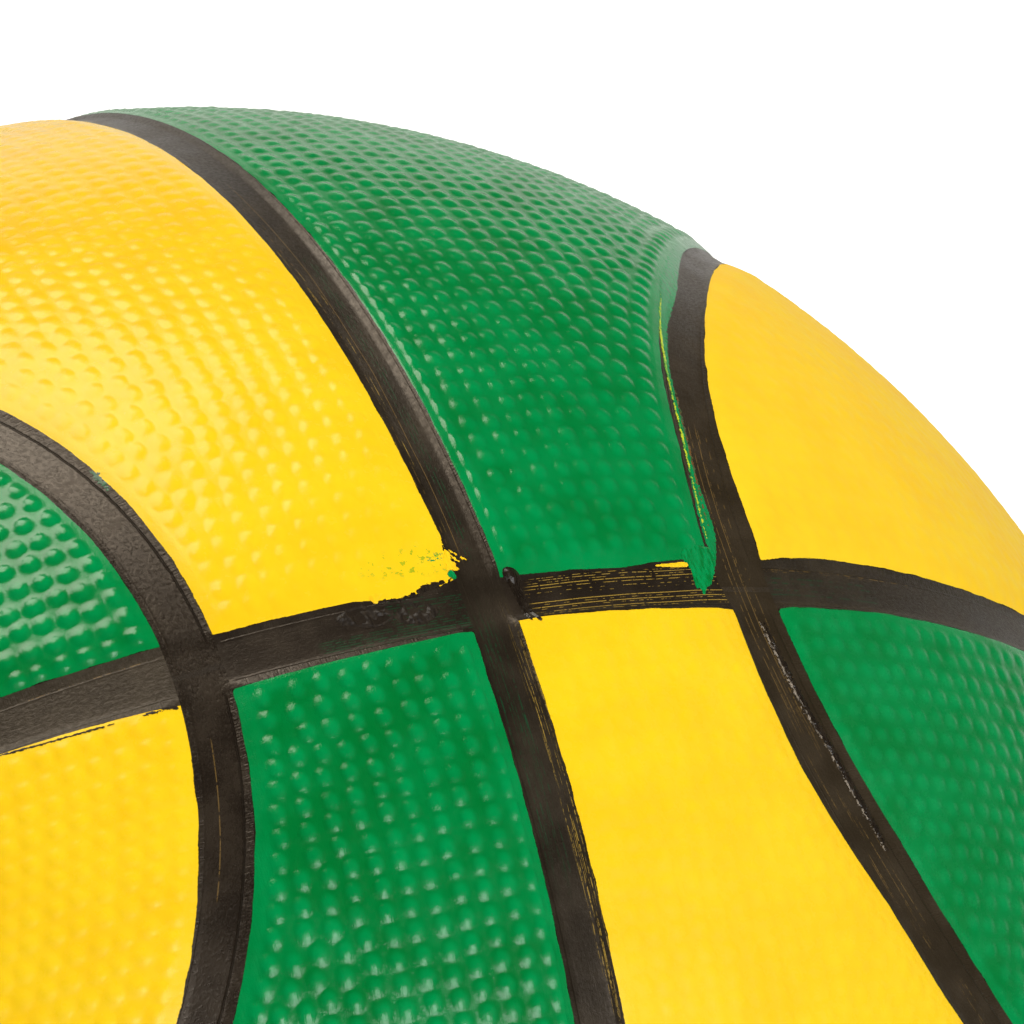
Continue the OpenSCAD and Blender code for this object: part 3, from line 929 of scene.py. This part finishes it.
end_black = channel_paint(
    "channel_black_ends", grain=0.12, tones=DUSTY_BLACKS,
    strokes=[(((47, 0, 110), (12, 6, 30)), TAN_DIM, [(2.3, 0.05, 0.5), (2.05, 0.03, 0.54)]),
             (((-47, 0, 110), (14, 6, 30)), TAN_DIM, [(2.5, 0.05, 0.53)]),
             (((42, 0, 112), (9, 6, 30)), DARK_GREEN, [
                 (1.2, 0.05, 0.46), (0.6, 0.05, 0.48), (-0.3, 0.04, 0.5), (-0.9, 0.05, 0.46)])])


# Panels

# Angles about X, from the top, at which the rows of the long panels change their spacing
CROSSING_END = math.radians(32)
UPPER_END = math.radians(68)
PAD_START = math.radians(86)
PAD_END = math.radians(94)


def rear_long_panel(name, side, kind, tall, paint, seed):
    """The rear long panels are two pieces: the upper one is fine, and the lower one coarser."""
    fine = graded([(0, UPPER_END, 380)])
    coarse = graded([(UPPER_END, PAD_START, 45), (PAD_START, PAD_END, 40), (PAD_END, math.pi, 160)])
    upper = long_panel_grid(fine, columns=241, with_pad=True)
    lower = long_panel_grid(coarse, columns=121, with_pad=True)
    # Every other point of the upper piece's last row lies on the straight edges of the lower one
    upper[-1, 1:-1:2] = (upper[-1, 0:-2:2] + upper[-1, 2::2]) / 2
    dress_panel(name + "_upper", upper, (side, 1), kind, tall, paint, seed, name)
    dress_panel(name + "_lower", lower, (side, 1), kind, tall, paint, seed, name)


def front_long_panel(name, side, kind, tall, paint, seed):
    """The front long panels are one piece each, finest near the crossing."""
    turns = graded([(0, CROSSING_END, 205), (CROSSING_END, math.pi, 440)])
    grid = long_panel_grid(turns, columns=139, with_pad=False)
    dress_panel(name, grid, (side, -1), kind, tall, paint, seed, name)


def end_panel(name, side_x, side_y, tall, paint, seed):
    """An end panel is one piece, finest towards the top of the ball."""
    heights = graded([(0, 0.56, 115), (0.56, 0.97, 38), (0.97, 1, 10)])
    shares = graded([(-1, 0.4, 210), (0.4, 1, 245)])
    grid = end_panel_grid(heights, shares)[:, ::-1]
    dress_panel(name, grid, (side_x, side_y), "end", tall, paint, seed, name)


# Each call gives the side or sides, the kind of pebble rows where the panel is a long one, the
# height of the pebbles in mm, the paint and a seed
rear_long_panel("yellow_panel_rear_left", -1, "long", 0.15, yellow_ragged, 1)
rear_long_panel("green_panel_rear_right", 1, "near", 0.25, green, 2)
front_long_panel("green_panel_front_left", -1, "near", 0.31, shadier_green, 3)
front_long_panel("yellow_panel_front_right", 1, "long", 0.13, yellow, 4)
end_panel("yellow_end_panel_front_left", -1, -1, 0.2, yellow, 5)
end_panel("green_end_panel_front_right", 1, -1, 0.15, even_green, 6)
end_panel("green_end_panel_rear_left", -1, 1, 0.34, green, 7)
end_panel("yellow_end_panel_rear_right", 1, 1, 0.08, matt_yellow, 8)


# Channel strips

# Places of the points across a strip, in mm, and the numbers of rows along each kind
ACROSS = np.linspace(-HALF_CHANNEL, HALF_CHANNEL, 25)
CENTRE_ROWS = 1450
CURVED_ROWS = 1100
SHORT_ROWS = 90
END_ROWS = 600
# A strip is alone where its second nearest seam lies further off than this, in mm, softly
ALONE = (2.4, 4.4)


def strip_values(line, across):
    """Distances along and across the strip, in mm, and how clear of the other seams it is."""
    alone = smooth(np.sort(np.stack(seam_distances(line)), axis=0)[1], *ALONE)
    steps = np.linalg.norm(np.diff(line[:, line.shape[1] // 2], axis=0), axis=1)
    along = np.concatenate([[0], np.cumsum(steps)])
    across, alone = (np.concatenate([top, top[:, [-1, 0]]], axis=1) for top in (across, alone))
    return {"along": np.repeat(along, across.shape[1]), "across": across.ravel(),
            "alone": alone.ravel()}


def strip_points(even, line):
    """Raises a strip's grid to the moulded surface and adds its underside, as one closed section.

    The moulding's height is the one at the strip's even place.
    """
    raised = line * (1 + surface_height(even) / BALL_R)[..., None]
    under = line[:, [-1, 0]] * (COVER_IN_R / BALL_R)
    return np.concatenate([raised, under], axis=1)


def section_faces(rows, columns, closed):
    """Faces between sections in rows: right round to the first, or with a flat face at each end."""
    i = np.arange(rows if closed else rows - 1)[:, None]
    j = np.arange(columns)[None, :]
    here, after = i * columns, (i + 1) % rows * columns
    beside = (j + 1) % columns
    faces = np.stack([here + j, here + beside, after + beside, after + j], axis=-1)
    faces = faces.reshape(-1, 4).tolist()
    if not closed:
        faces.append(list(range(columns))[::-1])
        faces.append(list(range((rows - 1) * columns, rows * columns)))
    return faces


def channel_strip(name, even, material, flip, axis=None):
    """The strip of a seam, from its even grid. A straight one lies across that axis and has ends."""
    line = repainted(even)
    if axis is None:
        offset = np.hypot(np.abs(line[..., 0]) - SEAM_X, line[..., 1]) - SEAM_R
    else:
        offset = line[..., axis]
    section = strip_points(even, line)
    faces = turned(section_faces(*section.shape[:2], closed=axis is None), flip)
    add_piece(name, section.reshape(-1, 3), faces, "channel_rubber", material, (name,),
              values=strip_values(line, offset))


def strip_grid(low, high, rows, ends=True):
    """Stations down the rows, from low to high, and places across the strip in the columns."""
    stations = np.linspace(low, high, rows, endpoint=ends)[:, None]
    return stations, np.repeat(ACROSS[None, :], rows, axis=0)


def centre_line():
    """The centre seam's strip, from one side of the valve pad round the ball to the other."""
    stations, x = strip_grid(0, 1, CENTRE_ROWS)
    clear = np.arcsin(np.sqrt(PAD_R ** 2 - x ** 2) / BALL_R)
    turn = math.pi / 2 + clear + (2 * math.pi - 2 * clear) * stations
    return on_ball(x, turn)


def curved_line(side):
    """A curved seam's strip: each column runs where an upright cylinder cuts the ball."""
    turn, offset = strip_grid(0, 2 * math.pi, CURVED_ROWS, ends=False)
    turn = np.repeat(turn, len(ACROSS), axis=1)
    return on_ball(curve_x(turn, offset), turn) * [side, 1, 1]


def cross_short_line(side, level):
    """The cross seam's strip between the centre channel and a curved channel."""
    stations, y = strip_grid(0, 1, SHORT_ROWS)
    end = SEAM_X - np.sqrt((SEAM_R + HALF_CHANNEL) ** 2 - y ** 2)
    reach = np.sqrt(BALL_R ** 2 - y ** 2)
    start, stop = np.arcsin(HALF_CHANNEL / reach), np.arcsin(end / reach)
    turn = start + (stop - start) * stations
    return np.stack([side * reach * np.sin(turn), y, level * reach * np.cos(turn)], axis=-1)


def cross_end_line(side):
    """The cross seam's strip over one end of the ball, from curved channel to curved channel."""
    stations, y = strip_grid(-1, 1, END_ROWS)
    end = SEAM_X - np.sqrt((SEAM_R - HALF_CHANNEL) ** 2 - y ** 2)
    reach = np.sqrt(BALL_R ** 2 - y ** 2)
    turn = np.arccos(end / reach) * stations
    return np.stack([side * reach * np.cos(turn), y, reach * np.sin(turn)], axis=-1)


channel_strip("centre_channel_ring", centre_line(), centre_black, False, 0)
channel_strip("curved_channel_right", curved_line(1), right_black, False)
channel_strip("curved_channel_left", curved_line(-1), left_black, True)
channel_strip("cross_channel_top_right", cross_short_line(1, 1), cross_right_black, False, 1)
channel_strip("cross_channel_top_left", cross_short_line(-1, 1), cross_left_black, True, 1)
channel_strip("cross_channel_bottom_right", cross_short_line(1, -1), plain_black, True, 1)
channel_strip("cross_channel_bottom_left", cross_short_line(-1, -1), plain_black, False, 1)
channel_strip("cross_channel_right_end", cross_end_line(1), end_black, True, 1)
channel_strip("cross_channel_left_end", cross_end_line(-1), end_black, False, 1)


# Valve pad: rings about Y from the neck to the panels, over the same moulding

# The gap round the neck and the width of the finer rings at the rim, in mm
PAD_CLEARANCE = 0.05
PAD_RIM = 1.6
PAD_SPOKES = 180


def valve_pad():
    """A polar grid about Y, raised to the moulded surface, with its wall and underside."""
    rim = PAD_R - PAD_RIM
    radii = graded([(NECK_R + PAD_CLEARANCE, rim, 10), (rim, PAD_R, 12)])
    turn = np.linspace(0, 2 * math.pi, PAD_SPOKES, endpoint=False)[:, None]
    x, z = radii[None, :] * np.cos(turn), radii[None, :] * np.sin(turn)
    flat = np.stack([x, np.sqrt(BALL_R ** 2 - x ** 2 - z ** 2), z], axis=-1)
    section = strip_points(flat, flat)
    rows, columns = section.shape[:2]
    points = section.reshape(-1, 3)
    values = {"along": np.repeat(turn * PAD_R, columns, axis=1).ravel(),
              "across": np.zeros(len(points))}
    add_piece("valve_pad", points, section_faces(rows, columns, closed=True), "channel_rubber",
              centre_black, ("valve_pad",), values=values)


valve_pad()


# Paint that was laid over the finished channels and panels. Each film is a piece of its own.

# A film's top lies this far over the surface where it is thinnest, and its underside this deep
FILM_LIFT = 0.015
FILM_DEPTH = 0.12
# The noises that fray an edge and that raise lumps, as (height, size in mm, seed)
TORN_WAVES = ((0.6, 0.5, 21), (0.4, 0.22, 22))
LUMP_WAVES = ((0.7, 1.9, 23), (0.35, 0.9, 24))
LUMPS_START = 0.7
LOWEST_LUMP = -0.5
# A film's grid reaches this many steps beyond its outline
BORDER_STEPS = 4


def polygon_depth(x, y, outline):
    """How far points lie inside a closed outline, to its nearest side. It is negative outside."""
    here = np.stack([x, y], axis=-1)
    depth, inside = np.full(x.shape, np.inf), np.zeros(x.shape, dtype=bool)
    for a, b in zip(outline, np.roll(outline, -1, axis=0)):
        side = b - a
        share = np.clip(((here - a) @ side) / max(side @ side, 1e-9), 0, 1)
        depth = np.minimum(depth, np.linalg.norm(here - a - share[..., None] * side, axis=-1))
        level = (a[1] > y) != (b[1] > y)
        if a[1] != b[1]:
            inside ^= level & (x < a[0] + (y - a[1]) / (b[1] - a[1]) * side[0])
    return np.where(inside, depth, -depth)


def rounded(outline):
    """Cuts each corner of a closed outline at a quarter and three quarters of its sides, twice."""
    outline = np.array(outline, dtype=float)
    for _ in range(2):
        after = np.roll(outline, -1, axis=0)
        outline = np.stack([outline * 0.75 + after * 0.25, outline * 0.25 + after * 0.75],
                           axis=1).reshape(-1, 2)
    return outline


def band(route, widths):
    """An outline round a route, that far to each side of it at each of its points."""
    route, widths = np.array(route, dtype=float), np.array(widths)[:, None]
    way = np.gradient(route, axis=0)
    off = np.stack([-way[:, 1], way[:, 0]], axis=1) / np.linalg.norm(way, axis=1)[:, None]
    return np.concatenate([route + off * widths, (route - off * widths)[::-1]])


def mixed_waves(points, parts):
    """A sum of waves, each with its height, its size in mm and its seed."""
    return sum(height * waves(points, size, seed) for height, size, seed in parts)


def paint_film(name, paint, outline, thick, soft, step=0.07, torn=0.0, lumps=0.0, sunk=0.0):
    """A closed film of paint on the upper side, within an outline of x and y in mm.

    It rises over soft mm from its edge to its thickness. torn frays the edge and lumps adds
    height, both by smooth noise. sunk lowers its edge into the surface, so that no rim shows.
    """
    outline = rounded(outline)
    border = BORDER_STEPS * step
    low, high = outline.min(axis=0) - border, outline.max(axis=0) + border
    x, y = np.meshgrid(np.arange(low[0], high[0], step), np.arange(low[1], high[1], step),
                       indexing="ij")
    flat = np.stack([x, y, np.sqrt(BALL_R ** 2 - x ** 2 - y ** 2)], axis=-1)
    depth = polygon_depth(x, y, outline) + torn * mixed_waves(flat, TORN_WAVES)
    rise = (thick + sunk) * smooth(depth, -step, soft) - sunk
    bulges = np.maximum(mixed_waves(flat, LUMP_WAVES), LOWEST_LUMP)
    rise += lumps * smooth(depth, 0, LUMPS_START) * bulges
    base = surface_height(evened(flat))
    top = flat * (1 + (base + FILM_LIFT + rise) / BALL_R)[..., None]
    under = flat * (1 + (base - FILM_DEPTH) / BALL_R)[..., None]
    keep = depth > -step
    cells = keep[:-1, :-1] & keep[1:, :-1] & keep[:-1, 1:] & keep[1:, 1:]
    rows, columns = x.shape
    count = rows * columns
    index = np.arange(count).reshape(rows, columns)
    a, b, c, d = index[:-1, :-1], index[1:, :-1], index[1:, 1:], index[:-1, 1:]
    quads = [np.stack([a, b, c, d], axis=-1)[cells],
             np.stack([d, c, b, a], axis=-1)[cells] + count]
    around = np.pad(cells, 1)
    for (start, end), beside in (((a, b), around[1:-1, :-2]), ((b, c), around[2:, 1:-1]),
                                 ((c, d), around[1:-1, 2:]), ((d, a), around[:-2, 1:-1])):
        rim = cells & ~beside
        near, far = start[rim], end[rim]
        quads.append(np.stack([far, near, near + count, far + count], axis=-1))
    faces = np.concatenate(quads)
    used, faces = np.unique(faces, return_inverse=True)
    points = np.concatenate([top.reshape(-1, 3), under.reshape(-1, 3)])[used]
    add_piece(name, points, faces.reshape(-1, 4).tolist(), *paint)


green_film = "green_paint", film_paint("green_run_paint", *GREENS, 0.22)
thin_green = "green_paint", film_paint(
    "green_thin_paint", (0.004, 0.26, 0.075, 1), (0.01, 0.2, 0.05, 1), 0.2, level=0.45)
smear_green = "green_paint", film_paint(
    "green_smear_paint", (0.035, 0.14, 0.06, 1), (0.08, 0.12, 0.07, 1), 0.22)
rust_film = "green_paint", film_paint("rust_line_paint", RUST, (0.05, 0.12, 0.05, 1), 0.35)
lime_film = "yellow_paint", film_paint(
    "yellow_green_paint", (0.62, 0.7, 0.02, 1), (0.05, 0.36, 0.05, 1), 0.3)
yellow_film = "yellow_paint", film_paint("yellow_run_paint", *YELLOWS, 0.3, 0.03, 0.22)
black_film = "channel_rubber", film_paint("black_run_paint", *BLACKS, 0.25, 0.05, 0.4)
lump_film = "channel_rubber", film_paint("black_lump_paint", *BLACKS, 0.45, 0.03, 0.3)
# This film's pale colour is a painted highlight on a raised torn edge
highlight_film = "channel_rubber", film_paint("torn_edge_highlight_paint", (0.3, 0.25, 0.19, 1), BLACK, 0.35, 0.08)

paint_film("green_drip", green_film, [
    (25.2, 4.2), (25.7, 3.2), (26.1, 2.6), (26.2, 1.9), (25.9, -0.2), (26.3, -0.1), (26.5, 0.1),
    (26.5, -1.0), (26.8, -0.9), (27.1, -0.1), (27.9, 0.2), (28.6, 1.1), (29.1, 1.9), (29.7, 3.0),
    (30.3, 4.1), (30.1, 5.1), (27.0, 5.0)], 0.05, 0.3, torn=0.05)
paint_film("green_overpaint", thin_green, [
    (82.0, 74.6), (74.0, 72.0), (66.4, 68.0), (57.7, 62.0), (51.2, 55.6), (45.2, 48.8),
    (42.8, 45.0), (39.2, 38.9), (37.6, 35.3), (35.7, 30.2), (34.2, 25.4), (32.8, 20.1),
    (31.4, 15.0), (30.0, 10.1), (29.3, 5.2), (29.6, 3.4), (30.6, 4.1), (31.7, 7.4), (31.9, 10.1),
    (32.4, 14.4), (33.8, 20.2), (35.2, 25.5), (36.8, 31.1), (40.8, 39.1), (46.2, 45.4),
    (50.5, 51.8), (55.8, 58.3), (60.8, 62.0), (70.2, 68.0), (78.9, 72.0), (84.0, 73.4)],
    0.03, 0.5, step=0.15, torn=0.1, sunk=0.05)
paint_film("yellow_green_line", lime_film, band(
    [(43.2, 45.0), (39.6, 38.9), (37.9, 35.3), (36.0, 30.2), (34.5, 25.4), (33.1, 20.1),
     (31.7, 15.0), (30.6, 10.1), (29.9, 6.2)],
    [0.04, 0.1, 0.14, 0.14, 0.05, 0.14, 0.05, 0.14, 0.04]), 0.05, 0.12, torn=0.09)
paint_film("rust_line", rust_film, band(
    [(35.9, 28.0), (34.6, 24.0), (33.6, 20.1), (32.3, 15.0), (31.3, 10.6), (30.8, 7.4)],
    [0.03, 0.08, 0.12, 0.1, 0.12, 0.03]), 0.05, 0.12, torn=0.1)
paint_film("yellow_sliver", yellow_film, [
    (21.4, 2.85), (23.8, 3.0), (26.0, 3.15), (26.0, 2.55), (24.3, 2.6), (22.4, 2.7)], 0.04, 0.2)
paint_film("yellow_nubs", yellow_film, [
    (-3.0, 4.5), (-2.2, 5.0), (-1.4, 4.75), (-1.35, 5.05), (-1.75, 5.4), (-1.5, 5.8), (-1.9, 6.3),
    (-1.6, 6.9), (-2.1, 7.6), (-2.6, 6.6)], 0.05, 0.2, torn=0.12)
paint_film("yellow_stroke", yellow_film, band(
    [(-1.75, 7.6), (-1.3, 7.0), (-0.8, 6.5), (-0.2, 6.0)], [0.05, 0.08, 0.05, 0.06]),
    0.04, 0.12, torn=0.1)
paint_film("yellow_stroke_short", yellow_film, band(
    [(-1.9, 6.9), (-1.4, 6.3), (-1.0, 5.9)], [0.08, 0.07, 0.05]), 0.04, 0.12, torn=0.1)
paint_film("yellow_run", yellow_film, [
    (-12.4, 3.5), (-12.1, 2.85), (-11.8, 2.5), (-11.5, 2.5), (-11.4, 2.8), (-11.0, 3.2),
    (-10.6, 3.5)], 0.05, 0.2)
paint_film("green_corner_patch", green_film, [
    (-2.95, 4.6), (-2.2, 4.95), (-2.0, 3.7), (-2.9, 3.9)], 0.04, 0.15, torn=0.04)
paint_film("black_corner_run", black_film, band(
    [(-10.9, 2.7), (-9.0, 2.45), (-7.6, 2.6), (-6.6, 3.0), (-5.2, 3.3), (-3.6, 3.5)],
    [0.08, 0.2, 0.25, 0.3, 0.35, 0.2]), 0.03, 0.4, torn=0.1, lumps=0.03)
paint_film("black_ridge_knob", black_film, [
    (3.1, 3.0), (3.2, 3.9), (3.8, 4.15), (4.6, 3.9), (5.1, 3.1), (4.9, 2.3), (3.9, 2.0)],
    0.35, 0.7)
paint_film("black_ridge_left", black_film, band(
    [(3.6, 3.0), (3.9, 1.6), (4.05, 0.0), (4.1, -1.6), (4.3, -2.7)],
    [0.2, 0.3, 0.24, 0.22, 0.12]), 0.3, 0.3)
paint_film("black_ridge_right", black_film, band(
    [(4.5, 2.8), (4.6, 1.4), (4.7, 0.0), (4.85, -1.6), (5.3, -2.9)],
    [0.25, 0.26, 0.2, 0.2, 0.25]), 0.24, 0.3)
paint_film("black_lumps_left", lump_film, band(
    [(-16.4, 1.6), (-14.0, 1.5), (-12.2, 0.9), (-10.2, 1.0)], [0.5, 1.3, 1.2, 0.5]),
    0.04, 1.0, torn=0.08, lumps=0.16)
paint_film("black_lumps_right", lump_film, band(
    [(-10.2, 0.4), (-8.4, 0.6), (-7.0, 0.4), (-5.2, 0.7)], [0.5, 1.4, 1.3, 0.4]),
    0.04, 1.0, torn=0.08, lumps=0.17)
# A torn edge of paint: a raised line, pale with a painted highlight, and a row of black lumps that
# far to its right, in mm
LUMPS_ASIDE = 0.45
TORN_ROUTE = [(32.7, -4.6), (32.9, -6.6), (33.2, -8.5), (33.6, -10.6), (34.1, -13.4),
              (35.0, -16.4), (36.1, -19.4), (37.0, -22.3), (38.4, -26.2), (40.2, -30.6)]
paint_film("torn_edge_highlight_line", highlight_film, band(
    TORN_ROUTE, [0.02, 0.1, 0.08, 0.15, 0.08, 0.12, 0.04, 0.1, 0.08, 0.02]),
    0.08, 0.12, torn=0.16)
paint_film("torn_edge_lumps", black_film, band(
    [(x + LUMPS_ASIDE, y) for x, y in TORN_ROUTE],
    [0.05, 0.2, 0.25, 0.3, 0.3, 0.35, 0.35, 0.4, 0.45, 0.1]),
    0.12, 0.3, torn=0.12, lumps=0.1)
paint_film("black_edge_line", lump_film, band(
    [(-53.5, -2.55), (-52.0, -2.75), (-49.0, -3.05), (-45.5, -3.3), (-42.4, -3.45), (-41.6, -3.5)],
    [0.05, 0.08, 0.06, 0.09, 0.06, 0.02]), 0.02, 0.1, torn=0.05)
paint_film("black_edge_dash", lump_film, band(
    [(-38.6, -3.6), (-37.6, -3.65), (-36.9, -3.65), (-36.3, -3.35), (-35.6, -3.65), (-34.9, -3.8)],
    [0.05, 0.1, 0.06, 0.12, 0.18, 0.05]), 0.03, 0.15, torn=0.08)
paint_film("green_smear", smear_green, [
    (-34.3, 27.6), (-33.7, 27.4), (-33.4, 26.6), (-33.0, 24.4), (-33.4, 24.0), (-34.0, 25.6),
    (-34.4, 26.8)], 0.01, 0.4, torn=0.2, sunk=0.04)


# Inner pieces and the valve keep their solids

# The rubber of each: its material's name, a clean and a worn colour, roughness and grain in mm
INNER_RUBBERS = {
    "valve_body": ("valve_rubber", (0.014, 0.013, 0.012, 1), (0.03, 0.028, 0.026, 1), 0.45, 0.4),
    "valve_plug": ("valve_plug_rubber", (0.5, 0.4, 0.24, 1), (0.4, 0.3, 0.17, 1), 0.6, 0.5),
    "valve_patch": ("patch_rubber", (0.22, 0.03, 0.015, 1), (0.3, 0.06, 0.03, 1), 0.7, 1.0),
    "bladder": ("bladder_rubber", (0.012, 0.012, 0.014, 1), (0.03, 0.03, 0.032, 1), 0.5, 1.2),
    "carcass": ("carcass_rubber", (0.05, 0.05, 0.055, 1), (0.08, 0.08, 0.085, 1), 0.7, 1.2),
}


def dress_node(name, material):
    """Gives a solid of the frame that one material."""
    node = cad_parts[name]
    node.data.materials.clear()
    node.data.materials.append(material)


for node_name, look in INNER_RUBBERS.items():
    dress_node(node_name, rubber(*look))
dress_node("winding", wound_yarn("wound_nylon"))


# Floor, lamps and surroundings, in metres

FLOOR_SPAN = 6.0
FLOOR_GREYS = ((0.72, 0.72, 0.72, 1), (0.74, 0.74, 0.74, 1))
# How bright the floor's own white is in mirrored rays, and its rise from under the ball outwards
FLOOR_MIRRORED = 0.05
FLOOR_GLOW = (0.5, 2.5, 0.62, 1.0)
# The world's light and what paint mirrors of it, from behind the ball to the camera's side. The
# first two numbers are the way's share along the camera's axis, and the others its brightness.
WORLD_CAST = (-0.8, 0.1, 1.25, 0.02)
WORLD_MIRRORED = (-0.98, -0.4, 0.07, 0.003)
# Each lamp's upright side leans to this direction
LAMP_UPRIGHT = AXES[:, 1] + 0.3 * AXES[:, 2]


def white_backdrop():
    """A pale floor that shows the ball's shadow, with its white made for the camera's rays."""
    n = material_nodes("studio_floor")
    path = n.add("ShaderNodeLightPath").outputs
    seen = n.math("MAXIMUM", path["Is Camera Ray"], path["Is Transmission Ray"])
    seen = n.math("MAXIMUM", seen, n.product(path["Is Glossy Ray"], FLOOR_MIRRORED))
    tone = n.mix(n.ramp(n.noise(40), 0.3, 0.7), *FLOOR_GREYS)
    matte = n.add("ShaderNodeBsdfDiffuse", {"Color": tone})
    away = n.add("ShaderNodeVectorMath", {0: n.place}, operation="LENGTH").outputs["Value"]
    white = n.product(seen, n.ramp(away, *FLOOR_GLOW))
    glow = n.add("ShaderNodeEmission", {"Color": (1, 1, 1, 1), "Strength": white})
    return n.finish(n.add("ShaderNodeAddShader", {0: matte.outputs[0], 1: glow.outputs[0]}))


floor_mesh = bpy.data.meshes.new("studio_floor")
# The floor lies at the ball's lowest point
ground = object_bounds()[0][2]
corners = [(-1, -1), (1, -1), (1, 1), (-1, 1)]
floor_mesh.from_pydata([(FLOOR_SPAN * x, FLOOR_SPAN * y, ground) for x, y in corners], [],
                       [(0, 1, 2, 3)])
floor_mesh.materials.append(white_backdrop())
floor = bpy.data.objects.new("studio_floor", floor_mesh)
bpy.context.scene.collection.objects.link(floor)


def softbox(name, way, size, radiance, distance=1.4, mirrored=True, lighting=True,
            tint=(1, 1, 1)):
    """A square area light that looks at the ball's centre from a direction in the camera's axes.

    Its power is its radiance times pi times its area. mirrored says whether glossy paint shows it,
    and lighting whether it lights the colours.
    """
    lamp = bpy.data.lights.new(name, "AREA")
    lamp.shape = "SQUARE"
    lamp.size = size
    lamp.energy = radiance * math.pi * size ** 2
    lamp.color = tint
    toward = AXES @ np.array(way) / np.linalg.norm(way)
    side = np.cross(LAMP_UPRIGHT, toward)
    side /= np.linalg.norm(side)
    light = bpy.data.objects.new(name, lamp)
    light.matrix_world = placed(np.stack([side, np.cross(toward, side), toward], axis=1),
                                toward * distance)
    light.visible_glossy = mirrored
    light.visible_diffuse = lighting
    bpy.context.scene.collection.objects.link(light)


softbox("softbox_overhead", (-0.33, 0.93, 0.12), 1.0, 4.9, tint=(1, 0.93, 0.82))
softbox("softbox_front", (0.42, -0.08, 0.9), 0.63, 4.6, mirrored=False)
softbox("softbox_front_shine", (0.42, -0.08, 0.9), 0.72, 4.8, distance=1.45, lighting=False)
softbox("softbox_front_wide", (0.72, 0.12, 0.7), 0.85, 2.3, mirrored=False)
softbox("softbox_fill", (0.1, -0.2, 0.97), 1.2, 1.95, mirrored=False)
softbox("softbox_side", (0.9, 0.4, 0.1), 1.0, 1.2, mirrored=False)


def studio_world():
    """A dark studio with a bright sweep behind the ball, as seen from the camera."""
    world = bpy.data.worlds.new("studio_white")
    bpy.context.scene.world = world
    n = Nodes(world, "ShaderNodeOutputWorld")
    facing = n.add("ShaderNodeVectorMath", {0: n.coordinates["Generated"], 1: AXES[:, 2]},
                   operation="DOT_PRODUCT").outputs["Value"]
    path = n.add("ShaderNodeLightPath").outputs
    choice = n.add("ShaderNodeMix", {"Factor": path["Is Glossy Ray"],
                                     "A": n.ramp(facing, *WORLD_CAST, kind="LINEAR"),
                                     "B": n.ramp(facing, *WORLD_MIRRORED, kind="LINEAR")})
    total = choice.outputs["Result"]
    for ray in ("Is Camera Ray", "Is Transmission Ray"):
        total = n.math("MAXIMUM", total, path[ray])
    n.finish(n.add("ShaderNodeBackground", {"Strength": total}))


studio_world()
bpy.context.scene.view_settings.view_transform = "Standard"
